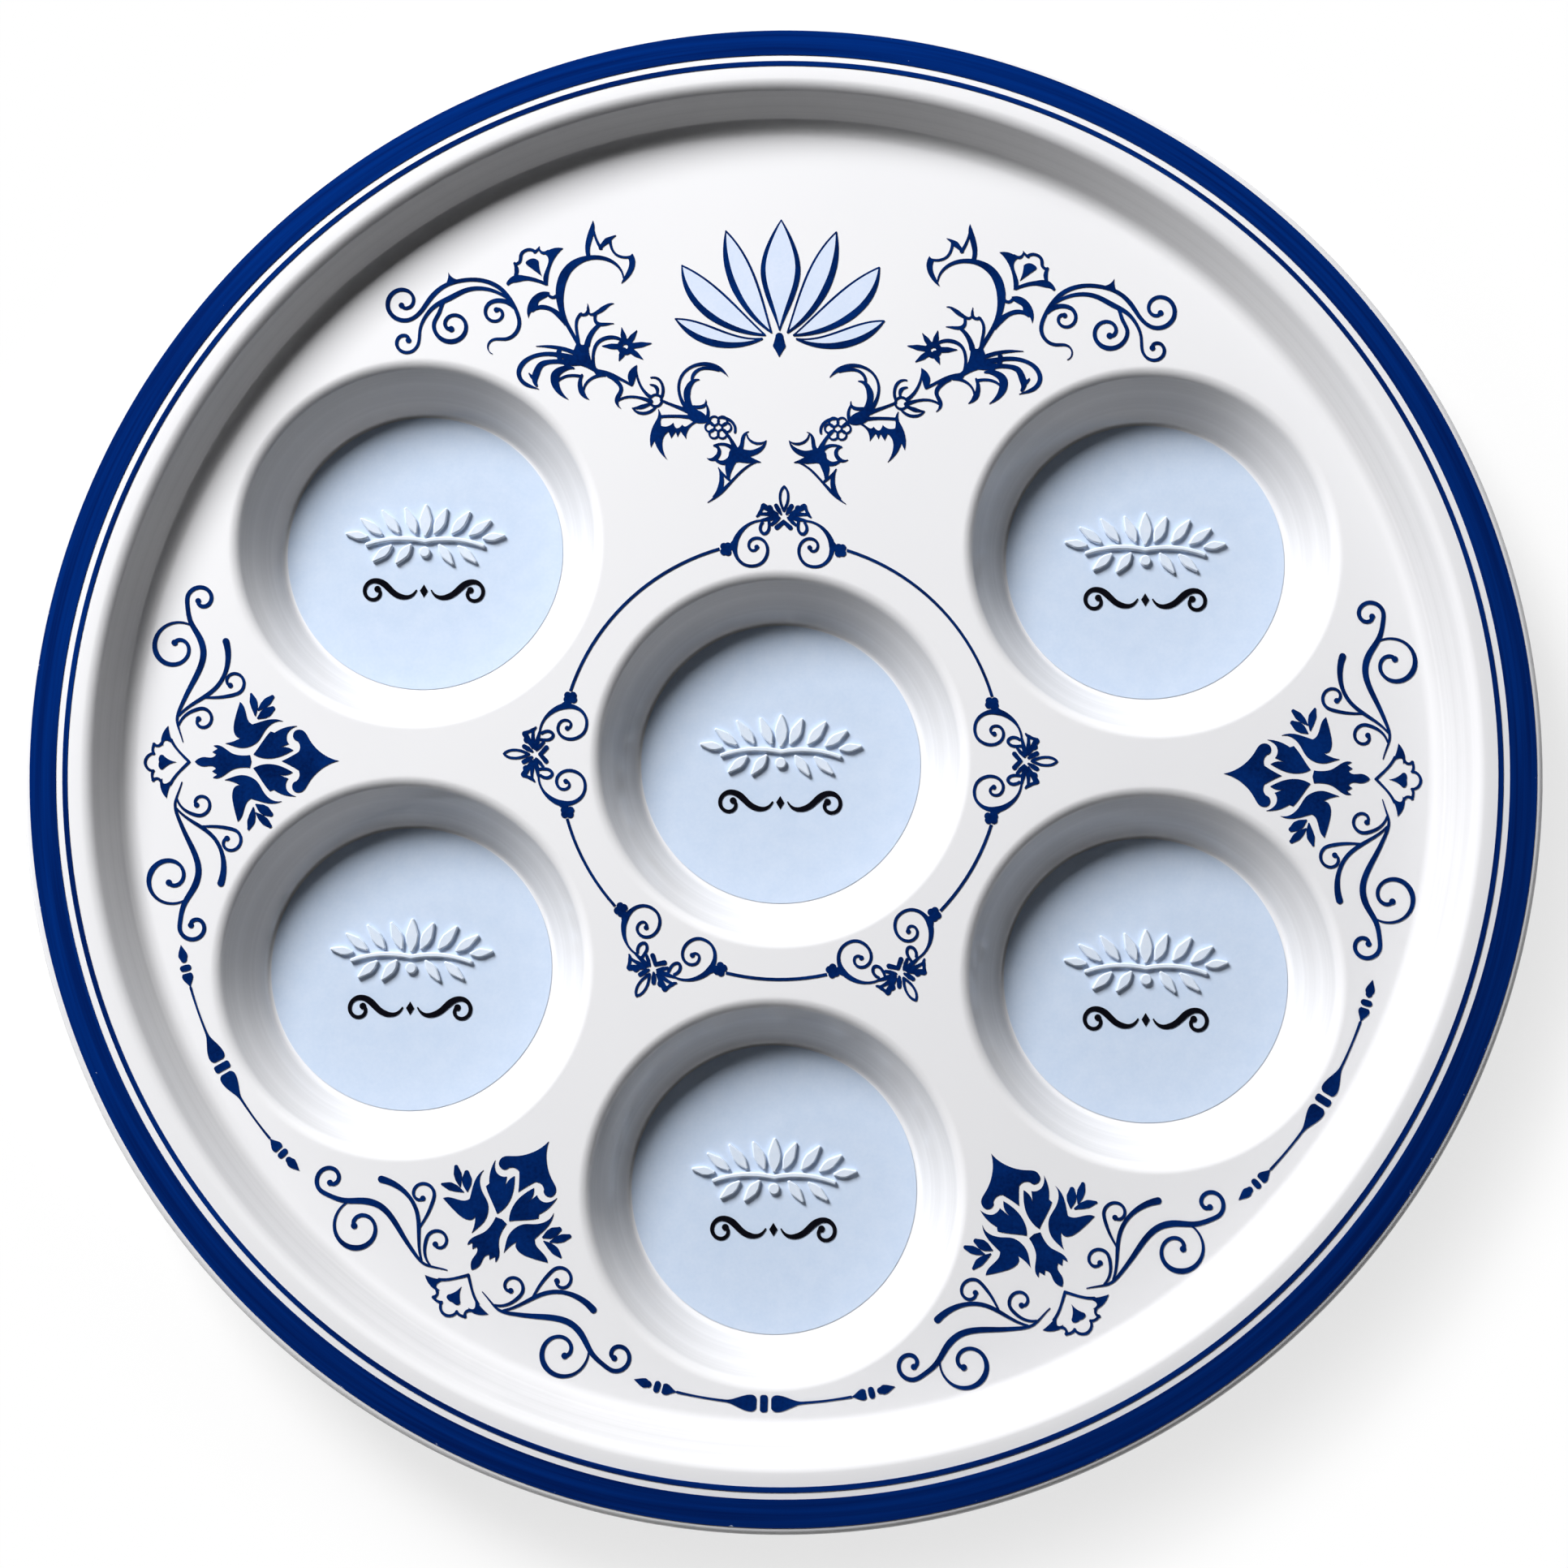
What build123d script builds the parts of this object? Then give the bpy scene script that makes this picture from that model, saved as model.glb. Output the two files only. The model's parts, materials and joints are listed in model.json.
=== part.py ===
"""A seder plate twelve inches across: one white moulding with six wells, and the printed foils on it.

Lengths are in millimetres and angles in degrees. The plate lies face up on its six foot rings, with
+Z up, +Y to the top of the plate and the origin on the table under its centre. Sizes run from the
wells outwards, so the plate's diameter follows from the wells, the webs between them, the cove and
the lip.
"""
import os
from math import asin, cos, degrees, radians, sin, tan

from build123d import *

os.makedirs("parts", exist_ok=True)

# Moulding
wall = 3.0
foot_height = 1.2
foot_width = 2.4
foot_inset = 3.0           # from the edge of a well's flat floor in to the foot ring under it
foot_round = 0.5
well_floor_radius = 29.3   # flat part of a well's floor
well_depth = 11.0
well_wall_angle = 54.0     # above the horizontal
well_floor_fillet = 1.0
well_lip_fillet = 2.8
well_root_fillet = 2.0     # under the face, round each well's outside
well_web = 9.6             # flat face left between the mouths of neighbouring wells
outer_well_angles = {
    "upper_right": 30,
    "upper_left": 150,
    "lower_left": 210,
    "bottom": 270,
    "lower_right": 330,
}
face_margin = 4.9          # flat face outside the outer wells' mouths
cove_rise = 8.3
cove_angle = 55.5          # above the horizontal
cove_foot_fillet = 4.0
cove_lip_fillet = 3.0
under_lip_fillet = 1.5
lip_flat = 0.2             # level ring at the lip's top, outside the cove's roundings
lip_bend = 69.5            # radius that the lip's top is bent to
lip_turn = 8.0             # how far the lip bends down to its round edge

# Printed foils
film = 0.15
band_reach = 7.1           # from the plate's edge in to the band's inner side
band_margin = 1.6          # from the plate's edge in to the band's outer side
rim_line_reach = 8.95      # from the plate's edge in to the middle of the thin line
rim_line_width = 1.0
frame_margin = 6.1         # from the centre well's mouth out to the frame line
frame_line_width = 0.6
frame_gap = 0.15           # between the frame line and the cartouches that hold it
cartouche_width = 26.1
palmette_width = 73.8
palmette_margin = 1.15     # from the palmette's foot to the edge of the flat face
palmette_turns = {"left": 1.2, "lower_left": 0.0, "lower_right": -1.2, "right": -1.3}  # off midway
spindle_width = 52.0
spindle_margin = 2.7       # from the spindle's middle to the edge of the flat face
spindle_bend = 85.0        # radius that the spindle's line is bent to
spindle_turns = {"lower_left": 0.0, "bottom": -0.5, "lower_right": -1.6}  # off the well's angle
garland_width = 80.6
garland_lift = 0.9         # least height of the garland's tail above the well under it
garland_half_gap = 2.3     # from the print's middle line to each garland's nearest tip
top_slip = -1.5            # of the garlands and the crest, across from the plate's middle line
crest_width = 44.0
crest_margin = 31.5        # from the crest's middle to the edge of the flat face
sprig_width = 34.0
sprig_relief = 0.9
sprig_bevel = 0.25
sprig_shift = 3.4          # up from the well's middle
flourish_width = 26.0
flourish_shift = -8.2      # down from the well's middle

# Heights, from the table up
floor_z = foot_height + wall
face_z = floor_z + well_depth
rim_z = face_z + cove_rise

# Radii of the wells, from the flat floor out to the mouth
well_half_turn = tan(radians(well_wall_angle / 2))
well_run = well_depth / tan(radians(well_wall_angle))
well_floor_corner = well_floor_radius + well_floor_fillet * well_half_turn
well_lip_corner = well_floor_corner + well_run
well_mouth_radius = well_lip_corner + well_lip_fillet * well_half_turn
well_circle_radius = 2 * well_mouth_radius + well_web
boss_corner = well_floor_corner + wall * well_half_turn
boss_root = boss_corner + well_run

# Radii of the dish, from the flat face out to the edge
cove_half_turn = tan(radians(cove_angle / 2))
face_radius = well_circle_radius + well_mouth_radius + face_margin
cove_foot_corner = face_radius + cove_foot_fillet * cove_half_turn
cove_lip_corner = cove_foot_corner + cove_rise / tan(radians(cove_angle))
lip_start = cove_lip_corner + max(cove_lip_fillet, wall + under_lip_fillet) * cove_half_turn + lip_flat
lip_middle = (lip_start, rim_z - lip_bend)
edge_reach = lip_bend - wall / 2
edge_middle = (
    lip_start + edge_reach * sin(radians(lip_turn)),
    rim_z - lip_bend + edge_reach * cos(radians(lip_turn)),
)
plate_radius = edge_middle[0] + wall / 2
frame_radius = well_mouth_radius + frame_margin

# Middle of each well
well_centres = {"centre": (0.0, 0.0)}
for side, angle in outer_well_angles.items():
    across = well_circle_radius * cos(radians(angle))
    up = well_circle_radius * sin(radians(angle))
    well_centres[side] = (across, up)


def midway(first, second):
    """The angle midway between two outer wells, counted on from the first."""
    start = outer_well_angles[first]
    return start + (outer_well_angles[second] - start) % 360 / 2


# Cartouches and palmettes stand midway between two wells
midway_angles = {
    "top": midway("upper_right", "upper_left"),
    "left": midway("upper_left", "lower_left"),
    "lower_left": midway("lower_left", "bottom"),
    "lower_right": midway("bottom", "lower_right"),
    "right": midway("lower_right", "upper_right"),
}


def finish(piece, name):
    """Labels a finished piece and writes its file."""
    piece.part.label = name
    export_step(piece.part, f"parts/{name}.step")


def face_plane(radius, angle, outward):
    """A plane on the flat face, with its Y pointing out along the radius or in to the plate's centre."""
    place = (radius * cos(radians(angle)), radius * sin(radians(angle)), face_z)
    turn = radians(angle - 90 if outward else angle + 90)
    return Plane(origin=place, x_dir=(cos(turn), sin(turn), 0), z_dir=(0, 0, 1))


def lay_foil(name, drawing, plane):
    """Makes a printed foil of a flat drawing, lying on a plane."""
    with BuildPart() as foil:
        with BuildSketch(plane):
            add(drawing)
        extrude(amount=film)
    finish(foil, name)


def lay_lip_foil(name, inner, outer):
    """Makes a printed ring that follows the bend of the lip, between two radii of the plate."""
    start = 90 - degrees(asin((inner - lip_start) / lip_bend))
    end = 90 - degrees(asin((outer - lip_start) / lip_bend))
    with BuildPart() as foil:
        with BuildSketch(Plane.XZ):
            with BuildLine():
                under = CenterArc(lip_middle, lip_bend, start, end - start)
                over = CenterArc(lip_middle, lip_bend + film, start, end - start)
                Line(under @ 0, over @ 0)
                Line(under @ 1, over @ 1)
            make_face()
        revolve(axis=Axis.Z)
    finish(foil, name)


def to_width(drawing, width):
    """A drawing brought to its real width."""
    return scale(drawing.sketch, by=width / drawing.sketch.bounding_box().size.X, mode=Mode.PRIVATE)


def volute(eye, outer, inner, start_angle, turn):
    """Points along a scroll that closes in on its eye, slowly at first."""
    steps = round(abs(turn) / 40)
    points = []
    for step in range(steps + 1):
        share = step / steps
        reach = outer + (inner - outer) * share ** 1.4
        angle = radians(start_angle + turn * share)
        points.append((eye[0] + reach * cos(angle), eye[1] + reach * sin(angle)))
    return points


def brush_stroke(route, widths, dot=0.0):
    """Fills a stroke along a smooth line, its width eased through the widths.

    A dot closes its end if wanted.
    """
    with BuildLine(mode=Mode.PRIVATE) as line:
        Spline(*route)
    spine = line.edge()
    stations = 2 * max(len(route), len(widths))
    left = []
    right = []
    for station in range(stations + 1):
        share = station / stations
        place = share * (len(widths) - 1)
        before = min(int(place), len(widths) - 2)
        width = widths[before] + (widths[before + 1] - widths[before]) * (place - before)
        across = (spine % share).rotate(Axis.Z, 90) * (width / 2)
        left.append(spine @ share + across)
        right.append(spine @ share - across)
    with BuildLine() as outline:
        Spline(*left)
        ThreePointArc(left[-1], spine @ 1 + (spine % 1) * (widths[-1] / 2), right[-1])
        Spline(*reversed(right))
        ThreePointArc(right[0], spine @ 0 - (spine % 0) * (widths[0] / 2), left[0])
    make_face(outline.edges())
    if dot:
        with Locations(spine @ 1):
            Circle(dot)


def cut_shape(*runs):
    """Fills an outline of smooth runs. Each run starts at the corner where the one before it ends."""
    corner = runs[-1][-1]
    with BuildLine() as outline:
        for run in runs:
            if len(run) == 1:
                Line(corner, run[0])
            else:
                Spline(corner, *run)
            corner = run[-1]
    make_face(outline.edges())


def bead_ring(centre, radius, width):
    """Adds a small open ring."""
    with BuildSketch(mode=Mode.PRIVATE) as ring:
        with Locations(centre):
            Circle(radius + width / 2)
            Circle(radius - width / 2, mode=Mode.SUBTRACT)
    add(ring.sketch)


def draw_palmette():
    """Right half of a palmette: crown at the top, sprays at the sides, flower at the foot."""
    # Crown
    cut_shape([(0.95, -1.75), (2.45, -3.75), (4.7, -5.5), (6.4, -6.9), (6.2, -8.4), (5.1, -8.75),
               (4.2, -7.9)],
              [(3.2, -7.3), (1.9, -7.5)],
              [(1.0, -9.0), (0, -11)],
              [(0, 0.75)])
    # Inner leaf, slit at its top
    cut_shape([(6.95, -10.5), (5.9, -12.6)],
              [(6.2, -13.4)],
              [(4.6, -14.7), (2.8, -15.9), (1.45, -16.9)],
              [(0.7, -15), (0.7, -12.5), (1.45, -10.25), (2.3, -8.7)],
              [(2.9, -10.2), (2.6, -12)],
              [(3.2, -10.6), (3.6, -9.6)],
              [(4.6, -10.1), (5.7, -10), (6.7, -9.2), (7.3, -8)])
    # Outer sepal
    cut_shape([(7.95, -13), (6.2, -14.75), (4.2, -16), (3.2, -17.5), (2.85, -19.5), (3.2, -21),
               (3.8, -22.75)],
              [(4.2, -21), (4.95, -19.5)],
              [(5.3, -20.6), (6.7, -21.1), (8.7, -20.9), (10.7, -20.4), (12.4, -19.9)],
              [(10.2, -18.7), (8.2, -17.9), (7.7, -17.2)],
              [(8.2, -15.6), (8.7, -13.5), (8.3, -10.9)])
    # Three petals of the side bud
    brush_stroke([(9.0, -16.1), (10.0, -14.6), (10.95, -13.1)], [0.4, 1.7, 2.0, 1.0])
    brush_stroke([(10.7, -16.1), (12.1, -14.6), (13.4, -13.2)], [0.3, 1.3, 1.6, 0.8])
    brush_stroke([(9.6, -16.7), (11.9, -17.0), (14.0, -17.6)], [0.3, 1.3, 1.6, 0.5])
    # Stem with its teeth and drop
    cut_shape([(1.3, -17.6)],
              [(1.25, -19.5), (1.7, -21.3), (2.8, -22.9), (3.4, -24.2), (3.3, -25.2)],
              [(2.7, -24.3)],
              [(2.0, -25.4)],
              [(1.5, -24.6)],
              [(0.85, -25.6), (0.95, -27.2), (0.55, -28.4), (0, -29)],
              [(0, -17.3)])
    # Flower: roof and wing, scalloped base, heart
    brush_stroke([(0, -30.2), (1.55, -31.75), (3.3, -33.25), (4.6, -34.0)], [0.6, 0.5, 0.6])
    cut_shape([(5.3, -34.2), (7.5, -34.7)],
              [(6.0, -35.75), (3.8, -36.1)],
              [(3.4, -35.7)],
              [(4.5, -35.1), (4.2, -34.3), (3.4, -33.4)])
    brush_stroke([(3.9, -36), (3.4, -36.7), (3.75, -37.6)], [0.6, 0.5, 0.6])
    brush_stroke([(3.75, -37.5), (2.8, -37.8), (1.8, -37.6)], [0.6, 0.5, 0.6])
    brush_stroke([(1.8, -37.5), (1.5, -38.5), (0.8, -39.1), (0, -39.3)], [0.5, 0.6])
    cut_shape([(0.45, -34.3), (1.45, -35.6)],
              [(1.4, -36.2), (0.7, -36.5), (0, -36.4)],
              [(0, -32.9)])
    # Sprays: long S, great volute, branch, its volute, and the small inner volute
    brush_stroke([(4.2, -31.6), (6.95, -32.5), (8.7, -32.9), (11.7, -32.1), (15.2, -30.5), (18.7, -28.75),
                  (22.7, -27.75), (26.2, -28.75), (29.2, -30.5)] + volute((33.9, -28.4), 3.1, 0.7, 250,
                                                                          360),
                 [0.2, 0.7, 1.1, 1.3, 0.9, 0.8, 0.8], dot=0.6)
    brush_stroke(volute((24.0, -33.4), 5.4, 1.0, 47, -430), [0.3, 0.6, 1.1, 0.7, 0.8], dot=0.65)
    brush_stroke([(9.7, -32.5), (11.7, -30.25), (13.45, -27.5), (15.7, -24.75), (18.2, -23.25),
                  (21.2, -22.6),
                  (25.1, -23.1)], [0.4, 0.8, 0.8, 1.4])
    brush_stroke([(13.4, -27.6), (13.4, -24.5)] + volute((16.5, -21.5), 2.65, 0.8, 180, -320),
                 [0.4, 0.7, 0.6, 0.6], dot=0.55)
    brush_stroke([(7.7, -32.5), (9.7, -31.2)] + volute((8.7, -27.8), 2.5, 0.7, -30, 320),
                 [0.4, 0.7, 0.6, 0.6], dot=0.55)


def draw_cartouche():
    """Right half of a cartouche, with the frame line's radius at zero height."""
    # Volute, thick where the frame line's bead meets it
    brush_stroke([(4.6, 4.15), (6.4, 3.75), (8.0, 2.75), (9.3, 1.2), (10.05, -0.6), (10.05, -2.4),
                  (9.3, -4.15), (7.9, -5.25), (6.3, -5.5), (4.7, -5.0), (3.6, -3.7), (3.25, -2.1),
                  (3.7, -0.6), (4.8, 0.3), (6.0, 0.35), (6.95, -0.3), (7.15, -1.4), (6.55, -2.2),
                  (5.8, -2.1), (5.5, -1.5)],
                 [0.4, 0.5, 0.9, 1.25, 0.75, 0.6, 0.6, 0.65, 0.6, 0.6, 0.55, 0.55], dot=0.5)
    cut_shape([(10.9, -0.6), (11.3, -1.2)],
              [(11.3, -2.6)],
              [(10.8, -2.2), (10.0, -2.5)],
              [(9.9, 0.6)])
    # Bead of four lobes
    with Locations((11.5, -2.65), (11.5, -1.35), (12.35, -2.55), (12.35, -1.45)):
        Circle(0.75)
    # Almond bud
    brush_stroke([(0, 11.4), (0.6, 10.6), (0.85, 9.3), (0.7, 8.0), (0.3, 6.9), (0, 6.3)], [0.5, 0.5, 0.6])
    # Petals of the upper leaf, from the bud outwards
    brush_stroke([(0.6, 5.6), (1.15, 6.5), (1.6, 7.3)], [0.5, 1.0, 0.9])
    brush_stroke([(1.3, 5.6), (2.7, 6.3), (4.2, 7.2)], [0.4, 1.0, 1.2])
    brush_stroke([(2.5, 6.5), (2.9, 7.1), (3.4, 7.0)], [0.5, 0.7, 0.5])
    brush_stroke([(4.3, 7.2), (4.7, 6.4), (5.0, 5.7), (5.6, 5.0)], [0.9, 0.6, 0.8, 0.4])
    brush_stroke([(1.2, 5.1), (3.0, 5.5), (4.9, 5.5)], [0.5, 0.8, 0.5])
    # Leaf, loop and petals under them
    brush_stroke([(0.9, 4.75), (2.6, 4.6), (4.7, 4.15)], [0.5, 0.9, 0.5])
    brush_stroke([(3.1, 4.2), (3.0, 2.9), (3.3, 1.8), (4.0, 1.35), (4.7, 1.9), (4.8, 2.9), (4.4, 3.7)],
                 [0.6, 0.6, 0.65, 0.6])
    brush_stroke([(1.0, 4.5), (1.8, 3.9), (2.5, 3.3)], [0.4, 0.8, 0.6])
    brush_stroke([(0, 3.95), (0.7, 3.3), (1.4, 2.7)], [0.8, 0.9, 1.0])


def bent(along, aside=0.0):
    """A point of the spindle's line, which bends up towards its ends, or a point beside that line."""
    reach = spindle_bend - aside
    angle = along / spindle_bend
    return reach * sin(angle), spindle_bend - reach * cos(angle)


def draw_spindle():
    """Right half of a spindle: middle collar, great drop, thread, small drop,
    small collar and end drop."""
    RectangleRounded(1.5, 3.3, 0.5)
    cut_shape([bent(2.0, 1.5), bent(3.2, 1.55), bent(5.2, 0.9), bent(7.6, 0.25)],
              [bent(7.6, -0.25)],
              [bent(5.2, -0.9), bent(3.2, -1.55), bent(2.0, -1.5), bent(1.45, -0.9)],
              [bent(1.45, 0.9)])
    brush_stroke([bent(7.2), bent(12), bent(17.2)], [0.5, 0.4, 0.4, 0.5])
    cut_shape([bent(18.4, 0.6), bent(19.6, 1.1), bent(20.2, 0.8)],
              [bent(20.2, -0.8)],
              [bent(19.6, -1.1), bent(18.4, -0.6), bent(16.6, -0.2)],
              [bent(16.6, 0.2)])
    brush_stroke([bent(21.3, -0.55), bent(21.3), bent(21.3, 0.55)], [1.2, 1.3, 1.2])
    brush_stroke([bent(23.1), bent(24.4), bent(26)], [1.3, 1.9, 1.5, 0.8, 0.1])


garland_foot = 84.5  # height of the lowest scroll of the garland's tail, as drawn


def draw_garland():
    """The left garland, from its tail over the upper left well down to the lily by the middle."""
    # Tail: outer scroll and its thorn, inner scroll, great volute, small volute
    brush_stroke([(-61.6, 84.7), (-62.5, 86.7), (-61.6, 87.7), (-59, 87.9), (-56.9, 89.1),
                  (-56.1, 91.2), (-56.7, 93.8),
                  (-58.3, 96.7), (-60.8, 99.2), (-64.5, 100.6), (-68.5, 100.5), (-72.4, 99.1),
                  (-75.2, 96.3)]
                 + volute((-80.6, 95.6), 4.05, 0.8, -35, -450),
                 [0.15, 0.6, 0.8, 0.8, 0.9, 0.8, 0.8, 1.0, 0.8, 0.9, 0.9, 0.7, 0.7], dot=0.6)
    cut_shape([(-70.3, 101.0), (-71.4, 102.2)],
              [(-71.4, 101), (-71.9, 99.5)],
              [(-69, 100.6)])
    brush_stroke([(-58.0, 96.1), (-60.5, 97.8), (-64, 98.8), (-67.5, 98.4), (-71, 96.6), (-74, 94.9),
                  (-75.8, 92.8),
                  (-77, 89.6)] + volute((-79.9, 87.2), 2.65, 0.6, -20, -320),
                 [0.5, 0.7, 0.9, 1.1, 0.8, 0.6, 0.6, 0.7, 0.7], dot=0.6)
    brush_stroke([(-70.4, 96.9), (-72.4, 95.4)] + volute((-70.2, 90.7), 4.0, 0.8, 135, 480),
                 [0.5, 0.8, 0.8, 1.0, 0.8, 0.7, 0.8], dot=0.65)
    brush_stroke([(-57.4, 95.0), (-58.8, 95.9)] + volute((-61.0, 93.6), 2.6, 0.6, 90, 360),
                 [1.0, 0.9, 0.7, 0.6, 0.7], dot=0.55)
    # Tulip over the tail
    brush_stroke([(-50.7, 99.9), (-53.5, 100.9), (-56.2, 101.1), (-58, 100.6), (-58.7, 99.9)],
                 [0.6, 0.7, 0.9, 1.6, 0.7])
    brush_stroke([(-57.3, 101.3), (-57.0, 103.0), (-57.4, 104.3)], [0.6, 0.9, 0.6])
    brush_stroke([(-57.4, 104.2), (-56.3, 104.9), (-56.1, 106.3), (-55.1, 107.2), (-53.2, 106.9)],
                 [0.5, 0.7, 0.6, 0.6])
    brush_stroke([(-53.3, 106.8), (-52.7, 107.3), (-52.3, 108.0)], [0.6, 0.5, 0.15])
    brush_stroke([(-52.4, 107.7), (-51.7, 106.7), (-50.4, 107.0)], [0.3, 0.6, 0.6])
    cut_shape([(-49.5, 107.6), (-47.3, 107.7)],
              [(-49.0, 105.6), (-50.0, 103), (-50.3, 99.6)],
              [(-51.0, 100.0)],
              [(-50.8, 103), (-50.3, 105.2), (-51.2, 106.5)])
    cut_shape([(-53.6, 105.4), (-52.4, 104.9)],
              [(-52.2, 103.3), (-51.6, 101.6)],
              [(-53.2, 102.8), (-54.7, 103.9)],
              [(-55.1, 104.4), (-54.6, 105.0)])
    # C-shaped stem and the crowned leaf at its head
    brush_stroke([(-43.2, 86.4), (-45.2, 89.8), (-46.9, 93.2), (-47.7, 96.8), (-47.4, 100.4),
                  (-45.9, 103.4),
                  (-43.4, 105.2), (-40.2, 105.8), (-37.2, 105.1), (-35.1, 103.3), (-34.4, 101.4)],
                 [0.9, 0.8, 0.9, 1.3, 1.8, 1.9, 1.6, 1.0, 0.8, 0.6, 0.3])
    cut_shape([(-42.6, 108.2), (-42.1, 111), (-41.1, 113.8)],
              [(-41.0, 110.5), (-41.6, 108), (-41.2, 105.6)],
              [(-42.2, 105.6)])
    brush_stroke([(-41.1, 113.0), (-40.6, 110.4), (-39.3, 107.8)], [0.3, 0.5, 0.7])
    brush_stroke([(-39.5, 107.8), (-38.3, 109.2), (-36.2, 110.6)], [0.6, 1.2, 0.1])
    brush_stroke([(-37.4, 109.7), (-37.1, 108), (-36.1, 106.5), (-34.6, 105.9), (-33.0, 106.0)],
                 [0.6, 0.5, 0.5])
    cut_shape([(-32.0, 104.8), (-32.7, 102.4), (-34.8, 100.2)],
              [(-34.0, 102.0), (-33.3, 103.8), (-33.5, 105.7)],
              [(-32.6, 106.7)])
    # Leaf at the left of the stem
    cut_shape([(-54.3, 95.4), (-52.6, 97.7), (-49.9, 98.1)],
              [(-50.7, 97.0), (-52.0, 96.2), (-52.2, 95.0)],
              [(-53.4, 94.2), (-54.2, 92.5)])
    brush_stroke([(-53.4, 94.1), (-51.6, 94.9), (-49.6, 94.5), (-47.8, 93.2), (-46.4, 91.4)],
                 [0.6, 0.9, 0.9, 1.2, 0.8])
    brush_stroke([(-50.3, 97.8), (-49.2, 97.0), (-48.1, 97.7)], [0.6, 0.6, 0.7])
    # Small tulip at the right of the stem
    brush_stroke([(-43.5, 87.0), (-44.0, 90), (-43.9, 92.4), (-43.1, 93.5)], [0.6, 0.6, 0.6])
    brush_stroke([(-43.4, 93.4), (-42.2, 93.4), (-41.8, 95.7)], [0.5, 0.7, 0.1])
    brush_stroke([(-41.8, 95.0), (-41.1, 93.4), (-39.2, 94.2), (-36.3, 95.8)], [0.2, 0.6, 1.0, 0.1])
    brush_stroke([(-39.4, 94.2), (-40.2, 92.7), (-39.8, 91.6), (-38.2, 91.3), (-36.2, 91.5)],
                 [0.6, 0.6, 0.8, 0.6, 0.1])
    brush_stroke([(-39.2, 91.2), (-40.9, 89.2), (-41.7, 86.8)], [0.7, 1.0, 1.2])
    # Mass where the stems part
    cut_shape([(-42.5, 86.8), (-41.4, 87.4)],
              [(-41.2, 85), (-40.4, 82.9), (-38.0, 81.0)],
              [(-39.2, 80.4)],
              [(-41, 81.6), (-43.8, 82.6)],
              [(-44.0, 84), (-44.6, 85.3)],
              [(-43.8, 87.4)])
    # Star flower
    brush_stroke([(-40.1, 82.0), (-40.3, 85.2), (-39.4, 87.4), (-37.6, 88.4), (-34.6, 88.0)],
                 [0.7, 0.6, 0.7, 0.8, 0.6])
    bead_ring((-33.6, 86.5), 1.15, 1.2)
    for tip in ((-34.5, 90.6), (-31.3, 90.0), (-28.2, 87.3), (-29.9, 83.9), (-34.9, 83.5), (-38.5, 86.6)):
        reach = Vector(*tip) - Vector(-33.6, 86.5)
        brush_stroke([tip, Vector(*tip) - reach * 0.4, Vector(*tip) - reach * 0.75], [0.15, 1.1, 1.2])
    # Claws at the left, upper curl first
    brush_stroke([(-43.9, 84.9), (-47, 86.0), (-49.8, 86.4), (-52.4, 86.4)], [0.9, 0.8, 0.6, 0.1])
    brush_stroke([(-47.4, 85.9), (-47.6, 85.0), (-47.4, 84.0)], [0.8, 1.1, 1.1])
    brush_stroke([(-43, 83.7), (-46.5, 84.4), (-50.0, 84.8), (-53, 84.2), (-55.2, 82.6), (-55.9, 80.6),
                  (-55.1, 78.8),
                  (-53.4, 77.8), (-51.6, 77.2)], [1.2, 1.2, 0.9, 0.8, 0.8, 1.0, 0.9, 0.8, 0.1])
    brush_stroke([(-43, 82.9), (-46, 83.1), (-49.4, 83.1), (-51.4, 82.3), (-52.1, 80.9), (-52.5, 79.4),
                  (-52.1, 78.0)],
                 [1.0, 1.4, 0.9, 0.9, 1.3, 1.5, 0.6])
    brush_stroke([(-52.5, 79.3), (-53.1, 79.8), (-53.7, 80.5)], [0.8, 0.7, 0.3])
    brush_stroke([(-44.4, 81.8), (-46.8, 81.5), (-48.2, 80.2), (-48.1, 78.2), (-47, 76.4), (-45.4, 75.1)],
                 [0.4, 1.2, 1.8, 1.6, 0.9, 0.1])
    brush_stroke([(-46.2, 82.8), (-45.6, 82.2), (-44.8, 81.8)], [0.9, 0.8, 0.4])
    brush_stroke([(-47.6, 79), (-46, 80), (-44, 80.2), (-42.7, 80.0)], [0.5, 0.55, 0.6])
    brush_stroke([(-42.6, 80.3), (-43, 78.4), (-42.5, 76.6), (-41.0, 75.1)], [0.5, 0.9, 1.2, 0.1])
    brush_stroke([(-42.2, 77), (-41.3, 79), (-39.6, 80.1), (-37.8, 80.5)], [0.4, 0.5, 0.6, 0.9])
    # Running stem with its thorn and lower leaf
    brush_stroke([(-39.4, 81.0), (-36.5, 80.4), (-34.2, 79.4), (-32.2, 78.3)], [1.2, 1.0, 0.6, 0.5])
    cut_shape([(-32.9, 80.6), (-31.1, 82.6)],
              [(-31.2, 80.6), (-31.9, 78.1)],
              [(-32.5, 78.4)])
    brush_stroke([(-31.3, 81.6), (-30.8, 79.4), (-29.8, 77.4), (-28.2, 75.8)], [0.4, 0.5, 0.6, 0.8])
    brush_stroke([(-37, 80.2), (-35.2, 79.0), (-34.3, 77.4), (-35.0, 75.6), (-34.3, 73.3)],
                 [0.8, 0.9, 0.8, 0.9, 0.1])
    brush_stroke([(-34.9, 74.9), (-33, 75.7), (-31, 75.7), (-28.0, 74.8)], [0.4, 0.5, 0.55, 0.9])
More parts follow.
